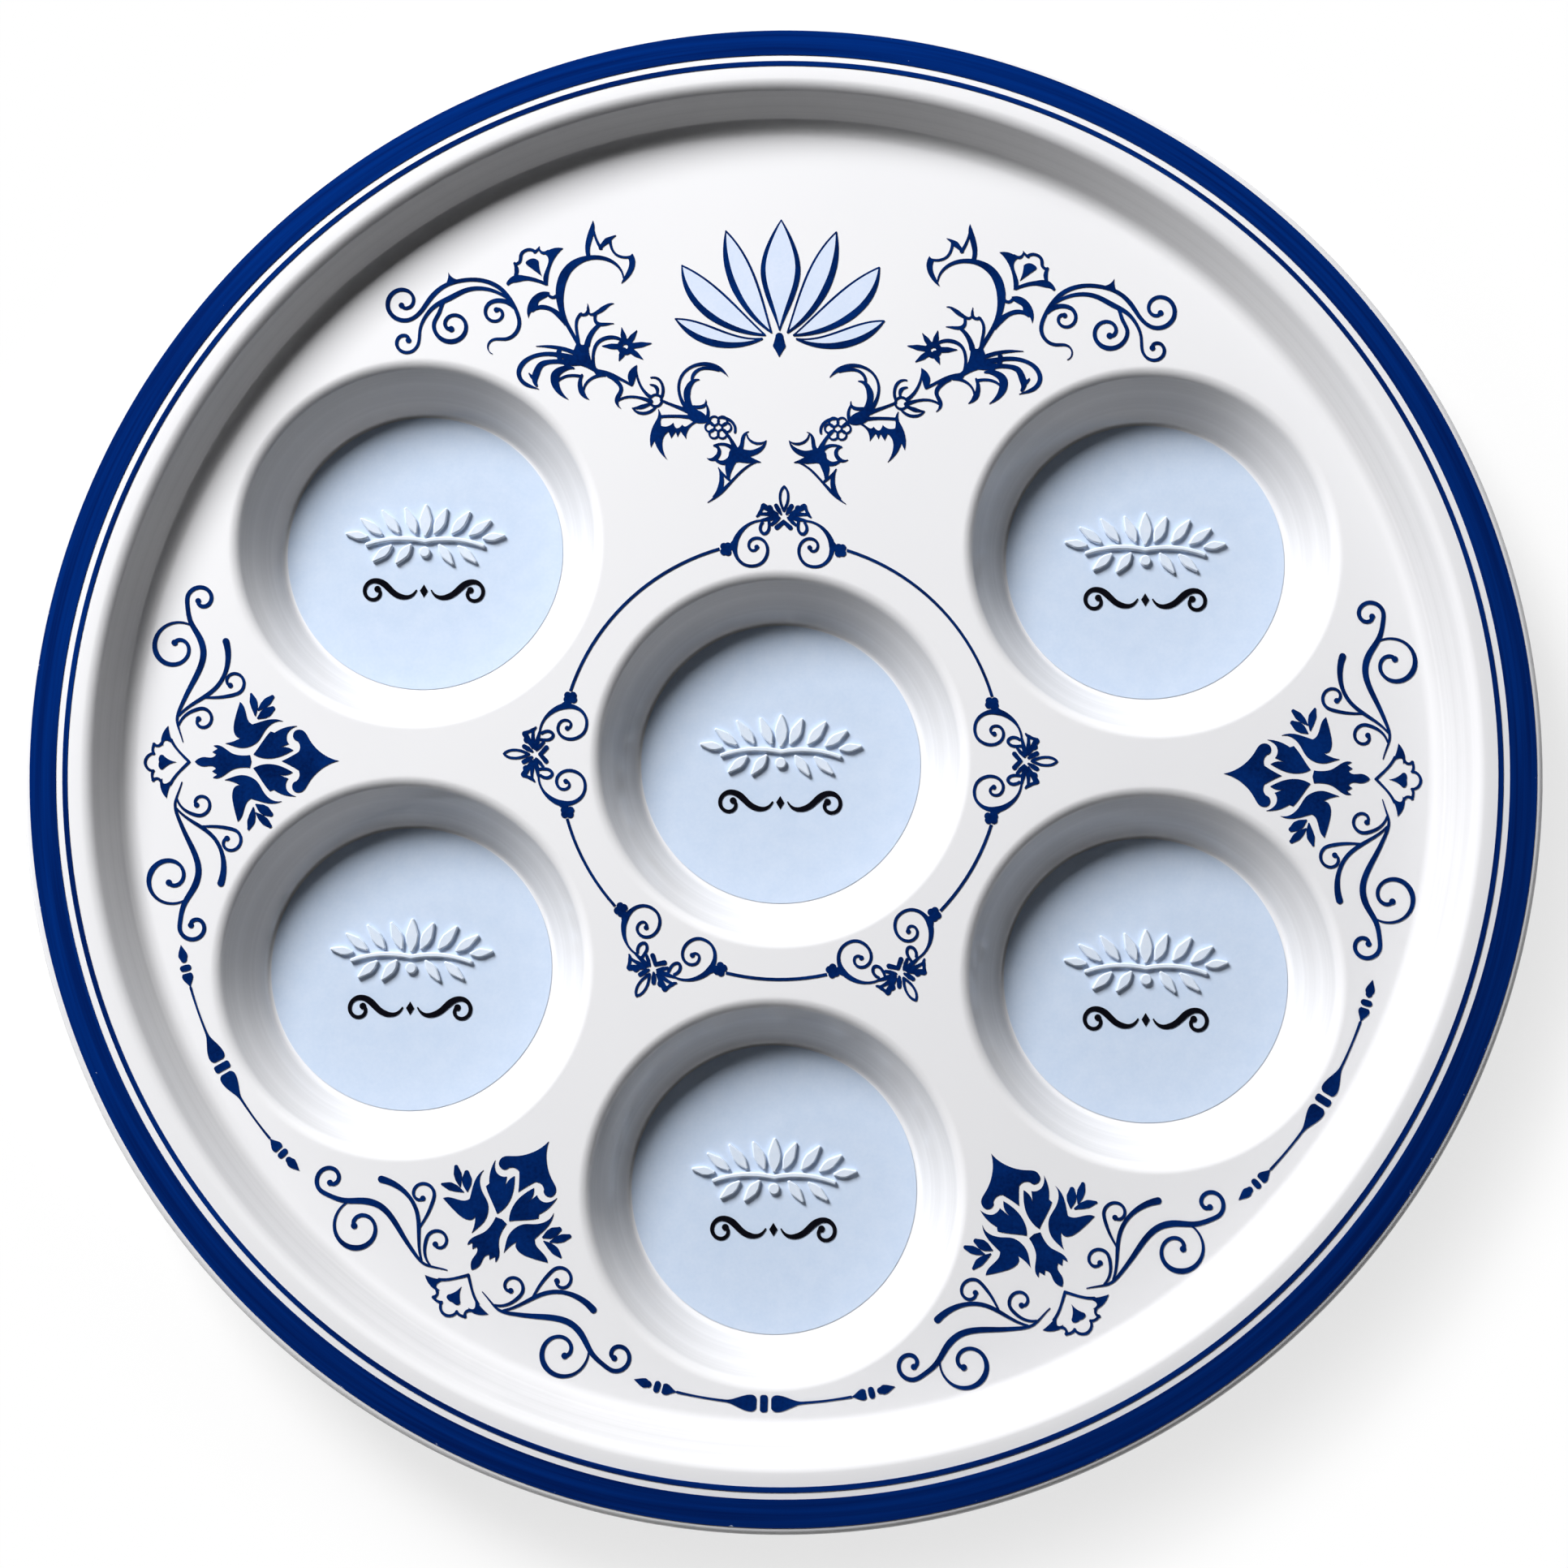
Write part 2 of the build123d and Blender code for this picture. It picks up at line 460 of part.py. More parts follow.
    # Small flower on the stem
    bead_ring((-27, 75), 1.25, 0.5)
    brush_stroke([(-31.8, 73.3), (-30.2, 72.3), (-28.4, 72.5), (-26.9, 73.8)], [0.3, 0.6, 0.6, 0.5])
    brush_stroke([(-31.6, 73.3), (-30, 73.6), (-28.2, 74.3)], [0.3, 0.9, 0.6])
    brush_stroke([(-28.1, 79.9), (-26.4, 79.5), (-25.6, 78), (-25.8, 75.8)], [0.3, 0.6, 0.6, 0.6])
    brush_stroke([(-28.2, 78.4), (-27, 77.9), (-26.8, 76.2)], [0.3, 0.8, 0.4])
    brush_stroke([(-25.9, 75.1), (-23, 73.9), (-20.4, 72.9), (-18.2, 71.8)], [0.5, 0.6, 0.9, 1.4])
    # Upper C-shaped leaf and the spike beside it
    brush_stroke([(-18.6, 72.4), (-20.8, 73.9), (-22, 76.2), (-22.2, 78.8), (-21.1, 81.2),
                  (-18.8, 82.7), (-16, 82.9),
                  (-13.6, 81.9), (-12, 80.4)], [1.6, 1.0, 0.6, 0.55, 0.55, 0.6, 0.8, 0.9, 0.1])
    brush_stroke([(-19.2, 73.4), (-20.4, 75.4), (-20.3, 77.6), (-19.4, 79.1), (-18.0, 79.6)],
                 [0.8, 1.3, 1.4, 1.0, 0.2])
    brush_stroke([(-19.4, 79.0), (-19.2, 80.7), (-18, 81.8), (-16, 82.1), (-14, 81.7)],
                 [0.5, 0.7, 0.6, 0.7, 0.6])
    brush_stroke([(-19.8, 73.7), (-18, 73.7), (-16.9, 74.0), (-16.5, 75.3)], [0.7, 0.7, 0.7, 0.1])
    brush_stroke([(-16.6, 74.6), (-16.0, 73), (-16.3, 71.0)], [0.3, 0.6, 0.8])
    cut_shape([(-17.6, 72.8), (-16.0, 71.4)],
              [(-16.4, 70.4)],
              [(-18.2, 70.3), (-20, 71.2)],
              [(-20.4, 72.6)],
              [(-19.2, 73.2)])
    # Lower leaf with its teeth
    brush_stroke([(-18.6, 71.4), (-22, 71.7), (-25.8, 71.6)], [0.9, 0.6, 0.6])
    brush_stroke([(-26.4, 73.1), (-26.1, 71.8), (-26.6, 70.2)], [0.15, 0.7, 0.9])
    cut_shape([(-27.3, 69.8), (-28.0, 67.2), (-27.8, 65.0)],
              [(-27.1, 66.4)],
              [(-26.2, 64.4), (-24.3, 62.4)],
              [(-25.4, 65.2), (-25.2, 67.2), (-24.2, 68.4)],
              [(-23.6, 67.0)],
              [(-22.7, 68.4)],
              [(-22.3, 67.3)],
              [(-21.7, 68.5)],
              [(-20.5, 66.9)],
              [(-20.2, 68.6), (-18.2, 70.5)],
              [(-19.4, 70.3), (-20.8, 69.5), (-21.3, 69.9)],
              [(-22.4, 69.1), (-23.2, 70.3)],
              [(-24.4, 69.5), (-25.8, 69.6)],
              [(-26, 71.7)])
    # Berries and the stem past them
    for turn in range(0, 360, 60):
        bead_ring((-13.8 + 1.75 * cos(radians(turn)), 69.4 + 1.6 * sin(radians(turn))), 0.95, 0.42)
    brush_stroke([(-16.4, 70.9), (-15.6, 70.6), (-14.9, 70.0)], [0.7, 0.6, 0.4])
    brush_stroke([(-13.6, 71.5), (-11.8, 71.2), (-10.5, 70.0), (-10.3, 68.4)], [0.5, 0.6, 0.6, 0.5])
    brush_stroke([(-12.6, 68.7), (-11, 66.6), (-10.1, 64.6)], [0.6, 0.7, 1.2])
    # Lily and the long leaf that ends the garland
    with Locations((-9.9, 63.6)):
        Circle(1.6)
    brush_stroke([(-9.7, 64.4), (-8.8, 65.8), (-8.6, 67.2), (-7.4, 68.6)], [1.2, 0.8, 0.7, 0.1])
    brush_stroke([(-7.8, 68.0), (-7.2, 66.8), (-5.8, 66.1), (-3.7, 66.7)], [0.3, 0.5, 0.5, 0.15])
    brush_stroke([(-9.4, 63.9), (-6.8, 64.0), (-5.0, 64.8), (-3.7, 66.7)], [2.4, 1.3, 0.9, 0.1])
    brush_stroke([(-9.6, 63.2), (-7.4, 62.6), (-4.8, 62.1)], [2.2, 1.4, 0.1])
    brush_stroke([(-10.4, 64.6), (-12, 65.7), (-14.6, 65.5)], [1.0, 0.6, 0.4])
    brush_stroke([(-14.4, 65.5), (-13.5, 64.4), (-13.9, 63.2), (-16.0, 62.8)], [0.5, 0.8, 0.9, 0.1])
    brush_stroke([(-14.6, 62.8), (-12.8, 61.9), (-10.8, 62.8)], [0.4, 0.9, 1.6])
    brush_stroke([(-10.4, 63.2), (-11.3, 61.2), (-11.4, 58.2)], [2.2, 1.6, 0.3])
    brush_stroke([(-5.4, 62.2), (-8, 60.8), (-10.4, 58.4), (-12.8, 55.8), (-15.7, 53.4)],
                 [0.2, 0.5, 0.5, 0.8, 0.1])
    brush_stroke([(-13.6, 60.8), (-12.9, 58.6), (-13.2, 56.4), (-14.4, 54.6)], [0.2, 0.9, 1.1, 0.6])
    brush_stroke([(-13.5, 60.6), (-12.4, 59.2), (-11.2, 58.2)], [0.3, 0.5, 0.5])


# Right half of each leaf of the crest: the edge that climbs to its tip, then the heavier edge that returns
crest_leaves = (
    ([(1.7, -11), (3.9, -3.5), (7.0, 4.3), (11.5, 10.5)],
     [(11.5, 10.5), (10.8, 2), (7.2, -5.5), (1.7, -11)]),
    ([(3.0, -11.6), (8.5, -6.2), (14.5, -0.7), (20.5, 3.0)],
     [(20.5, 3.0), (17.5, -4.8), (11, -9.6), (3.0, -11.6)]),
    ([(3.6, -12.4), (10, -11.6), (16, -9.4), (21.6, -8.4)],
     [(21.6, -8.4), (17, -12.2), (10.5, -13.8), (3.6, -12.4)]),
)
crest_spear = [(0, -10.5), (2.2, -4), (3.6, 2.5), (2.4, 8), (0, 13)]


def draw_crest_fill():
    """Right half of the crest's pale leaves."""
    cut_shape(crest_spear[1:], [crest_spear[0]])
    for climb, fall in crest_leaves:
        cut_shape(climb[1:], fall[1:])


def draw_crest_lines():
    """Right half of the crest's dark lines, heavier on the outer edges, with the drop at its foot."""
    brush_stroke(crest_spear, [0.3, 1.0, 1.1, 0.8, 0.3])
    for climb, fall in crest_leaves:
        brush_stroke(climb, [0.4, 0.5, 0.4])
        brush_stroke(fall, [0.3, 1.2, 1.4, 1.0, 0.4])
    brush_stroke([(0, -11.9), (0, -13.6), (0, -16)], [1.6, 2.6, 0.3])


def draw_sprig():
    """Right half of the leafy sprig, its leaves apart from its stem."""
    brush_stroke([(0, -1.0), (4.5, -0.5), (9, -0.9), (12.6, -1.9)], [1.0, 1.1, 1.0, 0.9])
    leaves = (
        ((2.1, 0.9), (4.4, 6.0), 2.4),
        ((5.9, 0.9), (9.4, 5.4), 2.3),
        ((9.7, 0.5), (13.9, 3.6), 2.1),
        ((3.2, -2.0), (6.0, -5.8), 2.2),
        ((7.4, -2.2), (11.0, -5.4), 2.1),
        ((12.8, -0.2), (17.0, 0.4), 1.9),
    )
    for base, tip, width in leaves:
        middle = (Vector(*base) + Vector(*tip)) / 2
        brush_stroke([base, middle, tip], [0.8, 0.9 * width, width, 0.7 * width, 0.7])
    brush_stroke([(0, 0.4), (0, 3.4), (0, 6.8)], [0.9, 2.5, 2.8, 2.0, 0.7])
    with Locations((0, -3.4)):
        Circle(1.2)


def draw_flourish():
    """Right half of the dark flourish under a sprig."""
    cut_shape([(0.8, 0)], [(0, -1.3)], [(0, 1.3)])
    brush_stroke([(1.5, 0.1), (3.4, -1.3), (5.8, -0.6), (7.8, 1.2)] + volute((9.8, -0.3), 2.3, 0.8, 115,
                                                                             -340),
                 [0.3, 1.1, 1.3, 0.8, 0.7, 0.7], dot=0.65)


# Solid block and hollow of one well, about the well's own axis
foot_outer = well_floor_radius - foot_inset
foot_inner = foot_outer - foot_width
block_top = face_z - wall / 2
with BuildPart() as well_block:
    with BuildSketch(Plane.XZ):
        with BuildLine():
            FilletPolyline(
                (0, foot_height),
                (foot_inner, foot_height),
                (foot_inner, 0),
                (foot_outer, 0),
                (foot_outer, foot_height),
                (boss_corner, foot_height),
                (boss_corner + (block_top - foot_height) / tan(radians(well_wall_angle)), block_top),
                (0, block_top),
                radius=[0, 0, foot_round, foot_round, 0, well_floor_fillet + wall, 0, 0],
                close=True,
            )
        make_face()
    revolve(axis=Axis.Z)
hollow_top = rim_z
with BuildPart() as well_hollow:
    with BuildSketch(Plane.XZ):
        with BuildLine():
            FilletPolyline(
                (0, floor_z),
                (well_floor_corner, floor_z),
                (well_floor_corner + (hollow_top - floor_z) / tan(radians(well_wall_angle)), hollow_top),
                (0, hollow_top),
                radius=[0, well_floor_fillet, 0, 0],
                close=True,
            )
        make_face()
    revolve(axis=Axis.Z)

# Plate: the dish with its cove and lip, then the wells
with BuildPart() as plate_body:
    with BuildSketch(Plane.XZ):
        with BuildLine():
            FilletPolyline(
                (0, face_z),
                (cove_foot_corner, face_z),
                (cove_lip_corner, rim_z),
                (lip_start, rim_z),
                radius=[cove_foot_fillet, cove_lip_fillet],
            )
            CenterArc(lip_middle, lip_bend, 90, -lip_turn)
            CenterArc(edge_middle, wall / 2, 90 - lip_turn, -180)
            CenterArc(lip_middle, lip_bend - wall, 90 - lip_turn, lip_turn)
            FilletPolyline(
                (lip_start, rim_z - wall),
                (cove_lip_corner + wall * cove_half_turn, rim_z - wall),
                (cove_foot_corner + wall * cove_half_turn, face_z - wall),
                (0, face_z - wall),
                radius=[under_lip_fillet, cove_foot_fillet + wall],
            )
            Line((0, face_z - wall), (0, face_z))
        make_face()
    revolve(axis=Axis.Z)
    with Locations(*well_centres.values()):
        add(well_block.part)
    with Locations(*well_centres.values()):
        add(well_hollow.part, mode=Mode.SUBTRACT)
    rings = plate_body.edges().filter_by(GeomType.CIRCLE)
    mouths = rings.filter_by(lambda ring: abs(ring.radius - well_lip_corner) < film)
    fillet(mouths.filter_by(lambda ring: ring.center().Z > block_top), well_lip_fillet)
    rings = plate_body.edges().filter_by(GeomType.CIRCLE)
    roots = rings.filter_by(lambda ring: abs(ring.radius - boss_root) < film)
    fillet(roots.filter_by(lambda ring: ring.center().Z < block_top), well_root_fillet)
finish(plate_body, "plate_body")

# Rim band and the thin line inside it
lay_lip_foil("rim_band", plate_radius - band_reach, plate_radius - band_margin)
line_middle = plate_radius - rim_line_reach
lay_lip_foil("rim_line", line_middle - rim_line_width / 2, line_middle + rim_line_width / 2)

# Drawings, each at its real width
with BuildSketch() as palmette_lines:
    draw_palmette()
    mirror(about=Plane.YZ)
palmette_drawing = to_width(palmette_lines, palmette_width)

with BuildSketch() as cartouche_lines:
    draw_cartouche()
    mirror(about=Plane.YZ)
cartouche_drawing = to_width(cartouche_lines, cartouche_width)

with BuildSketch() as spindle_lines:
    draw_spindle()
    mirror(about=Plane.YZ)
spindle_drawing = to_width(spindle_lines, spindle_width)

with BuildSketch() as garland_lines:
    draw_garland()
garland_drawing = to_width(garland_lines, garland_width)

with BuildSketch() as crest_lines:
    draw_crest_lines()
    mirror(about=Plane.YZ)
with BuildSketch() as crest_fill:
    draw_crest_fill()
    mirror(about=Plane.YZ)
    add(crest_lines.sketch, mode=Mode.SUBTRACT)
crest_scale = crest_width / crest_lines.sketch.bounding_box().size.X

with BuildSketch() as sprig_lines:
    draw_sprig()
    mirror(about=Plane.YZ)
sprig_drawing = to_width(sprig_lines, sprig_width)

with BuildSketch() as flourish_lines:
    draw_flourish()
    mirror(about=Plane.YZ)
flourish_drawing = to_width(flourish_lines, flourish_width)

with BuildSketch() as well_disc:
    Circle(well_floor_radius)

# In each well: the pale floor foil, the raised sprig and the dark flourish under it
for side, (x, y) in well_centres.items():
    lay_foil(f"{side}_well_foil", well_disc.sketch, Plane(origin=(x, y, floor_z)))
    with BuildPart() as sprig:
        with BuildSketch(Plane(origin=(x, y + sprig_shift, floor_z + film))):
            add(sprig_drawing)
        extrude(amount=sprig_relief)
        chamfer(sprig.edges().group_by(Axis.Z)[-1], sprig_bevel)
    finish(sprig, f"{side}_sprig")
    lay_foil(f"{side}_flourish", flourish_drawing, Plane(origin=(x, y + flourish_shift, floor_z + film)))

# Round the centre well: the cartouches and the frame line between them
for side, angle in midway_angles.items():
    lay_foil(f"cartouche_{side}", cartouche_drawing, face_plane(frame_radius, angle, outward=True))
stops = list(midway_angles.values())
stop_half_turn = degrees(asin((cartouche_width / 2 + frame_gap) / frame_radius))
with BuildPart() as frame_line:
    with BuildSketch(Plane.XY.offset(face_z)):
        with BuildLine():
            for start, end in zip(stops, stops[1:] + [stops[0] + 360]):
                CenterArc((0, 0), frame_radius, start + stop_half_turn, end - start - 2 * stop_half_turn)
        trace(line_width=frame_line_width)
    extrude(amount=film)
finish(frame_line, "frame_line")

# Near the edge of the flat face: palmettes between the wells and spindles outside them
palmette_foot = palmette_drawing.bounding_box().min.Y
palmette_radius = face_radius - palmette_margin + palmette_foot
for side, turn in palmette_turns.items():
    plane = face_plane(palmette_radius, midway_angles[side] + turn, outward=False)
    lay_foil(f"palmette_{side}", palmette_drawing, plane)
spindle_radius = face_radius - spindle_margin
for side, turn in spindle_turns.items():
    plane = face_plane(spindle_radius, outer_well_angles[side] + turn, outward=False)
    lay_foil(f"spindle_{side}", spindle_drawing, plane)

# At the top: a garland on each side and the crest between them
garland_scale = garland_width / garland_lines.sketch.bounding_box().size.X
well_top = well_centres["upper_left"][1] + well_mouth_radius
garland_x = -garland_half_gap - garland_drawing.bounding_box().max.X
garland_y = well_top + garland_lift - garland_foot * garland_scale
lay_foil("garland_left", garland_drawing, Plane(origin=(top_slip + garland_x, garland_y, face_z)))
garland_mirrored = mirror(garland_drawing, about=Plane.YZ, mode=Mode.PRIVATE)
lay_foil("garland_right", garland_mirrored, Plane(origin=(top_slip - garland_x, garland_y, face_z)))
crest_plane = Plane(origin=(top_slip, face_radius - crest_margin, face_z))
lay_foil("crest_fill", scale(crest_fill.sketch, by=crest_scale, mode=Mode.PRIVATE), crest_plane)
lay_foil("crest_lines", scale(crest_lines.sketch, by=crest_scale, mode=Mode.PRIVATE), crest_plane)
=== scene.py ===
"""Finishes, light and camera for a moulded melamine seder plate and the print on it.

Sizes in the classes are in millimetres and angles in degrees. The plate lies face up with +Z up
and +Y to the top of the picture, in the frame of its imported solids. The moulding and the two rings
on its lip are turned finer here than the solids are. The other prints keep their solids.
"""
import json
import logging
from dataclasses import dataclass, field
from enum import Enum
from math import asin, cos, degrees, pi, radians, sin, sqrt, tan

import bmesh
import bpy
from mathutils import Matrix, Vector

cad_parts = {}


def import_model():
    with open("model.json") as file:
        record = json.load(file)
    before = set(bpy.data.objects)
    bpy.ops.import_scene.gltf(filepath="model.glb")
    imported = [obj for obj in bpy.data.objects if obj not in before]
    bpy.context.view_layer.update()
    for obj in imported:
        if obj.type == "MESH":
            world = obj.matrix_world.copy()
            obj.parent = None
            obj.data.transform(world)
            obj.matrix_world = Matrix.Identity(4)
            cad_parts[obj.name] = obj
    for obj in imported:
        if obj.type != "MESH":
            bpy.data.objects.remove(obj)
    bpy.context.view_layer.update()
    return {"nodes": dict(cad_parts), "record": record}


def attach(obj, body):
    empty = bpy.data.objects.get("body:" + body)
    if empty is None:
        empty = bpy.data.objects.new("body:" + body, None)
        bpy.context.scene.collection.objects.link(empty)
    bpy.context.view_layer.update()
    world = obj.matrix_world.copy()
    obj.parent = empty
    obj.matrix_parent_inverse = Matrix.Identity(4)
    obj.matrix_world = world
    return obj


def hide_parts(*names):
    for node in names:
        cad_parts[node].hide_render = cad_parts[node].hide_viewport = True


LOG = logging.getLogger("seder_plate")
# Metres in a millimetre, and in metres how near two vertices or levels count as one
MM = 0.001
MERGE_DISTANCE = 1e-7
LEVEL_DISTANCE = 1e-6
# Bends above this angle stay sharp
SHARP_ANGLE = 40.0


def linear(hex_colour: str) -> tuple[float, float, float, float]:
    """Turns an sRGB hex colour to linear light.

    Args:
        hex_colour: Six hex digits after a hash.

    Returns:
        Red, green, blue and a full alpha.
    """
    channels = [int(hex_colour[place:place + 2], 16) / 255 for place in (1, 3, 5)]
    light = [c / 12.92 if c <= 0.04045 else ((c + 0.055) / 1.055) ** 2.4 for c in channels]
    return (*light, 1.0)


def add_node(tree: bpy.types.NodeTree, kind: str, inputs: dict | None = None,
             **settings: object) -> bpy.types.Node:
    """Adds a node with its settings and links.

    Args:
        tree: The node tree that gets the node.
        kind: The node's type, without the ShaderNode before it.
        inputs: Value or output socket for each input socket, by name or place.
        settings: Properties of the node itself.

    Returns:
        The new node.
    """
    node = tree.nodes.new("ShaderNode" + kind)
    for name, value in settings.items():
        setattr(node, name, value)
    for name, value in (inputs or {}).items():
        if isinstance(value, bpy.types.NodeSocket):
            tree.links.new(value, node.inputs[name])
        else:
            node.inputs[name].default_value = value
    return node


def per_metre(size: float) -> float:
    """Scale of a texture whose features are this many millimetres apart."""
    return 1 / (size * MM)


class Slot(Enum):
    """The record's material slots, by what they cover."""

    BODY = "melamine"
    RIM = "rim_print"
    ORNAMENT = "ornament_print"
    FLOOR = "floor_print"
    SPRIG = "sprig_relief"
    FLOURISH = "flourish_print"
    CREST = "crest_print"


@dataclass(frozen=True)
class Melamine:
    """White melamine, pressed in a polished steel mould.

    It gives a hard even gloss over a slightly cool white, with faint rings on the sloping walls
    where the mould was turned, and dull scuffs where the edge and the feet rub. The slopes also
    carry painted shade: away from the flats the colour is painted darker by an eighth to a fifth.
    """

    colour: str = "#F5F5F7"
    shade: str = "#F0F0F3"
    scuff: str = "#CDCDD0"
    roughness: float = 0.08
    ior: float = 1.6
    cloud: float = 45.0
    gloss_span: tuple[float, float] = (0.3, 0.7)
    gloss_spread: tuple[float, float] = (-0.02, 0.03)
    ring: float = 2.0
    ring_span: tuple[float, float] = (0.32, 0.68)
    # Share of the colour taken off the slopes: the mould's rings, over a painted shade on every slope
    ring_and_painted_slope_shade: tuple[float, float] = (0.125, 0.215)
    flats: tuple[float, ...] = (4.2, 15.2, 23.5)
    flat_reach: tuple[float, float] = (0.3, 1.2)
    peel: float = 1.6
    peel_depth: float = 0.05
    peel_strength: float = 0.05
    scuff_size: float = 2.2
    scuff_span: tuple[float, float] = (0.5, 0.72)
    scuff_cover: float = 0.75
    scuff_roughness: float = 0.5
    edge_reach: tuple[float, float] = (152.5, 153.5)
    foot_height: float = 0.25

    def build(self) -> bpy.types.Material:
        """Makes the material.

        Returns:
            A material on Object coordinates.
        """
        material = bpy.data.materials.new("moulded_white_melamine")
        material.use_nodes = True
        tree = material.node_tree
        shader = tree.nodes["Principled BSDF"]
        place = add_node(tree, "TexCoord").outputs["Object"]
        axes = add_node(tree, "SeparateXYZ", {0: place}).outputs
        level = add_node(tree, "CombineXYZ", {0: axes["X"], 1: axes["Y"]}).outputs[0]
        reach = add_node(tree, "VectorMath", {0: level}, operation="LENGTH").outputs["Value"]
        cloud = add_node(tree, "TexNoise", {"Vector": place, "Scale": per_metre(self.cloud), "Detail": 3.0})
        tone = add_node(tree, "Mix", {0: cloud.outputs["Fac"], "A": linear(self.colour),
                                      "B": linear(self.shade)}, data_type="RGBA")
        # Rings of the mould's turning, drawn by height, on the slopes alone, over a painted shade that
        # darkens every slope by an eighth to a fifth
        rings = add_node(tree, "TexNoise", {"W": axes["Z"], "Scale": per_metre(self.ring), "Detail": 3.0},
                         noise_dimensions="1D")
        ring_and_slope_shade = add_node(tree, "MapRange", {0: rings.outputs["Fac"], 1: self.ring_span[0],
                                             2: self.ring_span[1], 3: self.ring_and_painted_slope_shade[0],
                                             4: self.ring_and_painted_slope_shade[1]})
        nearest: bpy.types.NodeSocket | float = 1.0
        for flat in self.flats:
            off = add_node(tree, "Math", {0: axes["Z"], 1: flat * MM}, operation="SUBTRACT")
            gap = add_node(tree, "Math", {0: off.outputs[0]}, operation="ABSOLUTE")
            nearest = add_node(tree, "Math", {0: gap.outputs[0], 1: nearest}, operation="MINIMUM").outputs[0]
        slope = add_node(tree, "MapRange", {0: nearest, 1: self.flat_reach[0] * MM,
                                            2: self.flat_reach[1] * MM})
        depth = add_node(tree, "Math", {0: slope.outputs[0], 1: ring_and_slope_shade.outputs[0]}, operation="MULTIPLY")
        left = add_node(tree, "Math", {0: 1.0, 1: depth.outputs[0]}, operation="SUBTRACT")
        ringed_and_shaded = add_node(tree, "Mix", {0: 1.0, "A": tone.outputs["Result"], "B": left.outputs[0]},
                          data_type="RGBA", blend_type="MULTIPLY")
        # Scuffs on the edge's nose and under the feet
        spots = add_node(tree, "TexNoise", {"Vector": place, "Scale": per_metre(self.scuff_size),
                                            "Detail": 6.0, "Roughness": 0.7})
        edge = add_node(tree, "MapRange", {0: reach, 1: self.edge_reach[0] * MM, 2: self.edge_reach[1] * MM})
        foot = add_node(tree, "MapRange", {0: axes["Z"], 1: self.foot_height * MM, 2: 0.0})
        rubbed = add_node(tree, "Math", {0: edge.outputs[0], 1: foot.outputs[0]}, operation="MAXIMUM")
        worn = add_node(tree, "MapRange", {0: spots.outputs["Fac"], 1: self.scuff_span[0],
                                           2: self.scuff_span[1], 4: self.scuff_cover})
        wear = add_node(tree, "Math", {0: rubbed.outputs[0], 1: worn.outputs[0]}, operation="MULTIPLY")
        colour = add_node(tree, "Mix", {0: wear.outputs[0], "A": ringed_and_shaded.outputs["Result"],
                                        "B": linear(self.scuff)}, data_type="RGBA")
        tree.links.new(colour.outputs["Result"], shader.inputs["Base Color"])
        dull = add_node(tree, "MapRange", {0: cloud.outputs["Fac"], 1: self.gloss_span[0],
                                           2: self.gloss_span[1], 3: self.roughness + self.gloss_spread[0],
                                           4: self.roughness + self.gloss_spread[1]})
        rough = add_node(tree, "MapRange", {0: wear.outputs[0], 3: dull.outputs[0], 4: self.scuff_roughness})
        tree.links.new(rough.outputs[0], shader.inputs["Roughness"])
        # Slight waviness of the pressed skin
        peel = add_node(tree, "TexNoise", {"Vector": place, "Scale": per_metre(self.peel), "Detail": 2.0})
        bump = add_node(tree, "Bump", {"Height": peel.outputs["Fac"], "Strength": self.peel_strength,
                                       "Distance": self.peel_depth * MM})
        tree.links.new(bump.outputs[0], shader.inputs["Normal"])
        shader.inputs["IOR"].default_value = self.ior
        return material


@dataclass(frozen=True)
class Print:
    """Ink printed on a foil that is pressed under the melamine's gloss.

    The ink lies a little unevenly, in soft clouds and a fine grain, and the gloss over it is calm.
    """

    name: str
    colour: str
    shade: str
    roughness: float = 0.2
    ior: float = 1.36
    cloud: float = 7.0
    grain: float = 0.7
    grain_share: float = 0.4
    tone_span: tuple[float, float] = (0.35, 0.65)
    gloss_span: tuple[float, float] = (0.3, 0.7)
    gloss_spread: tuple[float, float] = (-0.04, 0.06)

    def build(self) -> bpy.types.Material:
        """Makes the material.

        Returns:
            A material on Object coordinates.
        """
        material = bpy.data.materials.new(self.name)
        material.use_nodes = True
        tree = material.node_tree
        shader = tree.nodes["Principled BSDF"]
        place = add_node(tree, "TexCoord").outputs["Object"]
        cloud = add_node(tree, "TexNoise", {"Vector": place, "Scale": per_metre(self.cloud), "Detail": 3.0})
        grain = add_node(tree, "TexNoise", {"Vector": place, "Scale": per_metre(self.grain), "Detail": 2.0})
        both = add_node(tree, "Mix", {0: self.grain_share, "A": cloud.outputs["Fac"],
                                      "B": grain.outputs["Fac"]})
        tone = add_node(tree, "MapRange", {0: both.outputs["Result"], 1: self.tone_span[0],
                                           2: self.tone_span[1]})
        colour = add_node(tree, "Mix", {0: tone.outputs[0], "A": linear(self.colour),
                                        "B": linear(self.shade)}, data_type="RGBA")
        tree.links.new(colour.outputs["Result"], shader.inputs["Base Color"])
        rough = add_node(tree, "MapRange", {0: grain.outputs["Fac"], 1: self.gloss_span[0],
                                            2: self.gloss_span[1], 3: self.roughness + self.gloss_spread[0],
                                            4: self.roughness + self.gloss_spread[1]})
        tree.links.new(rough.outputs[0], shader.inputs["Roughness"])
        shader.inputs["IOR"].default_value = self.ior
        return material


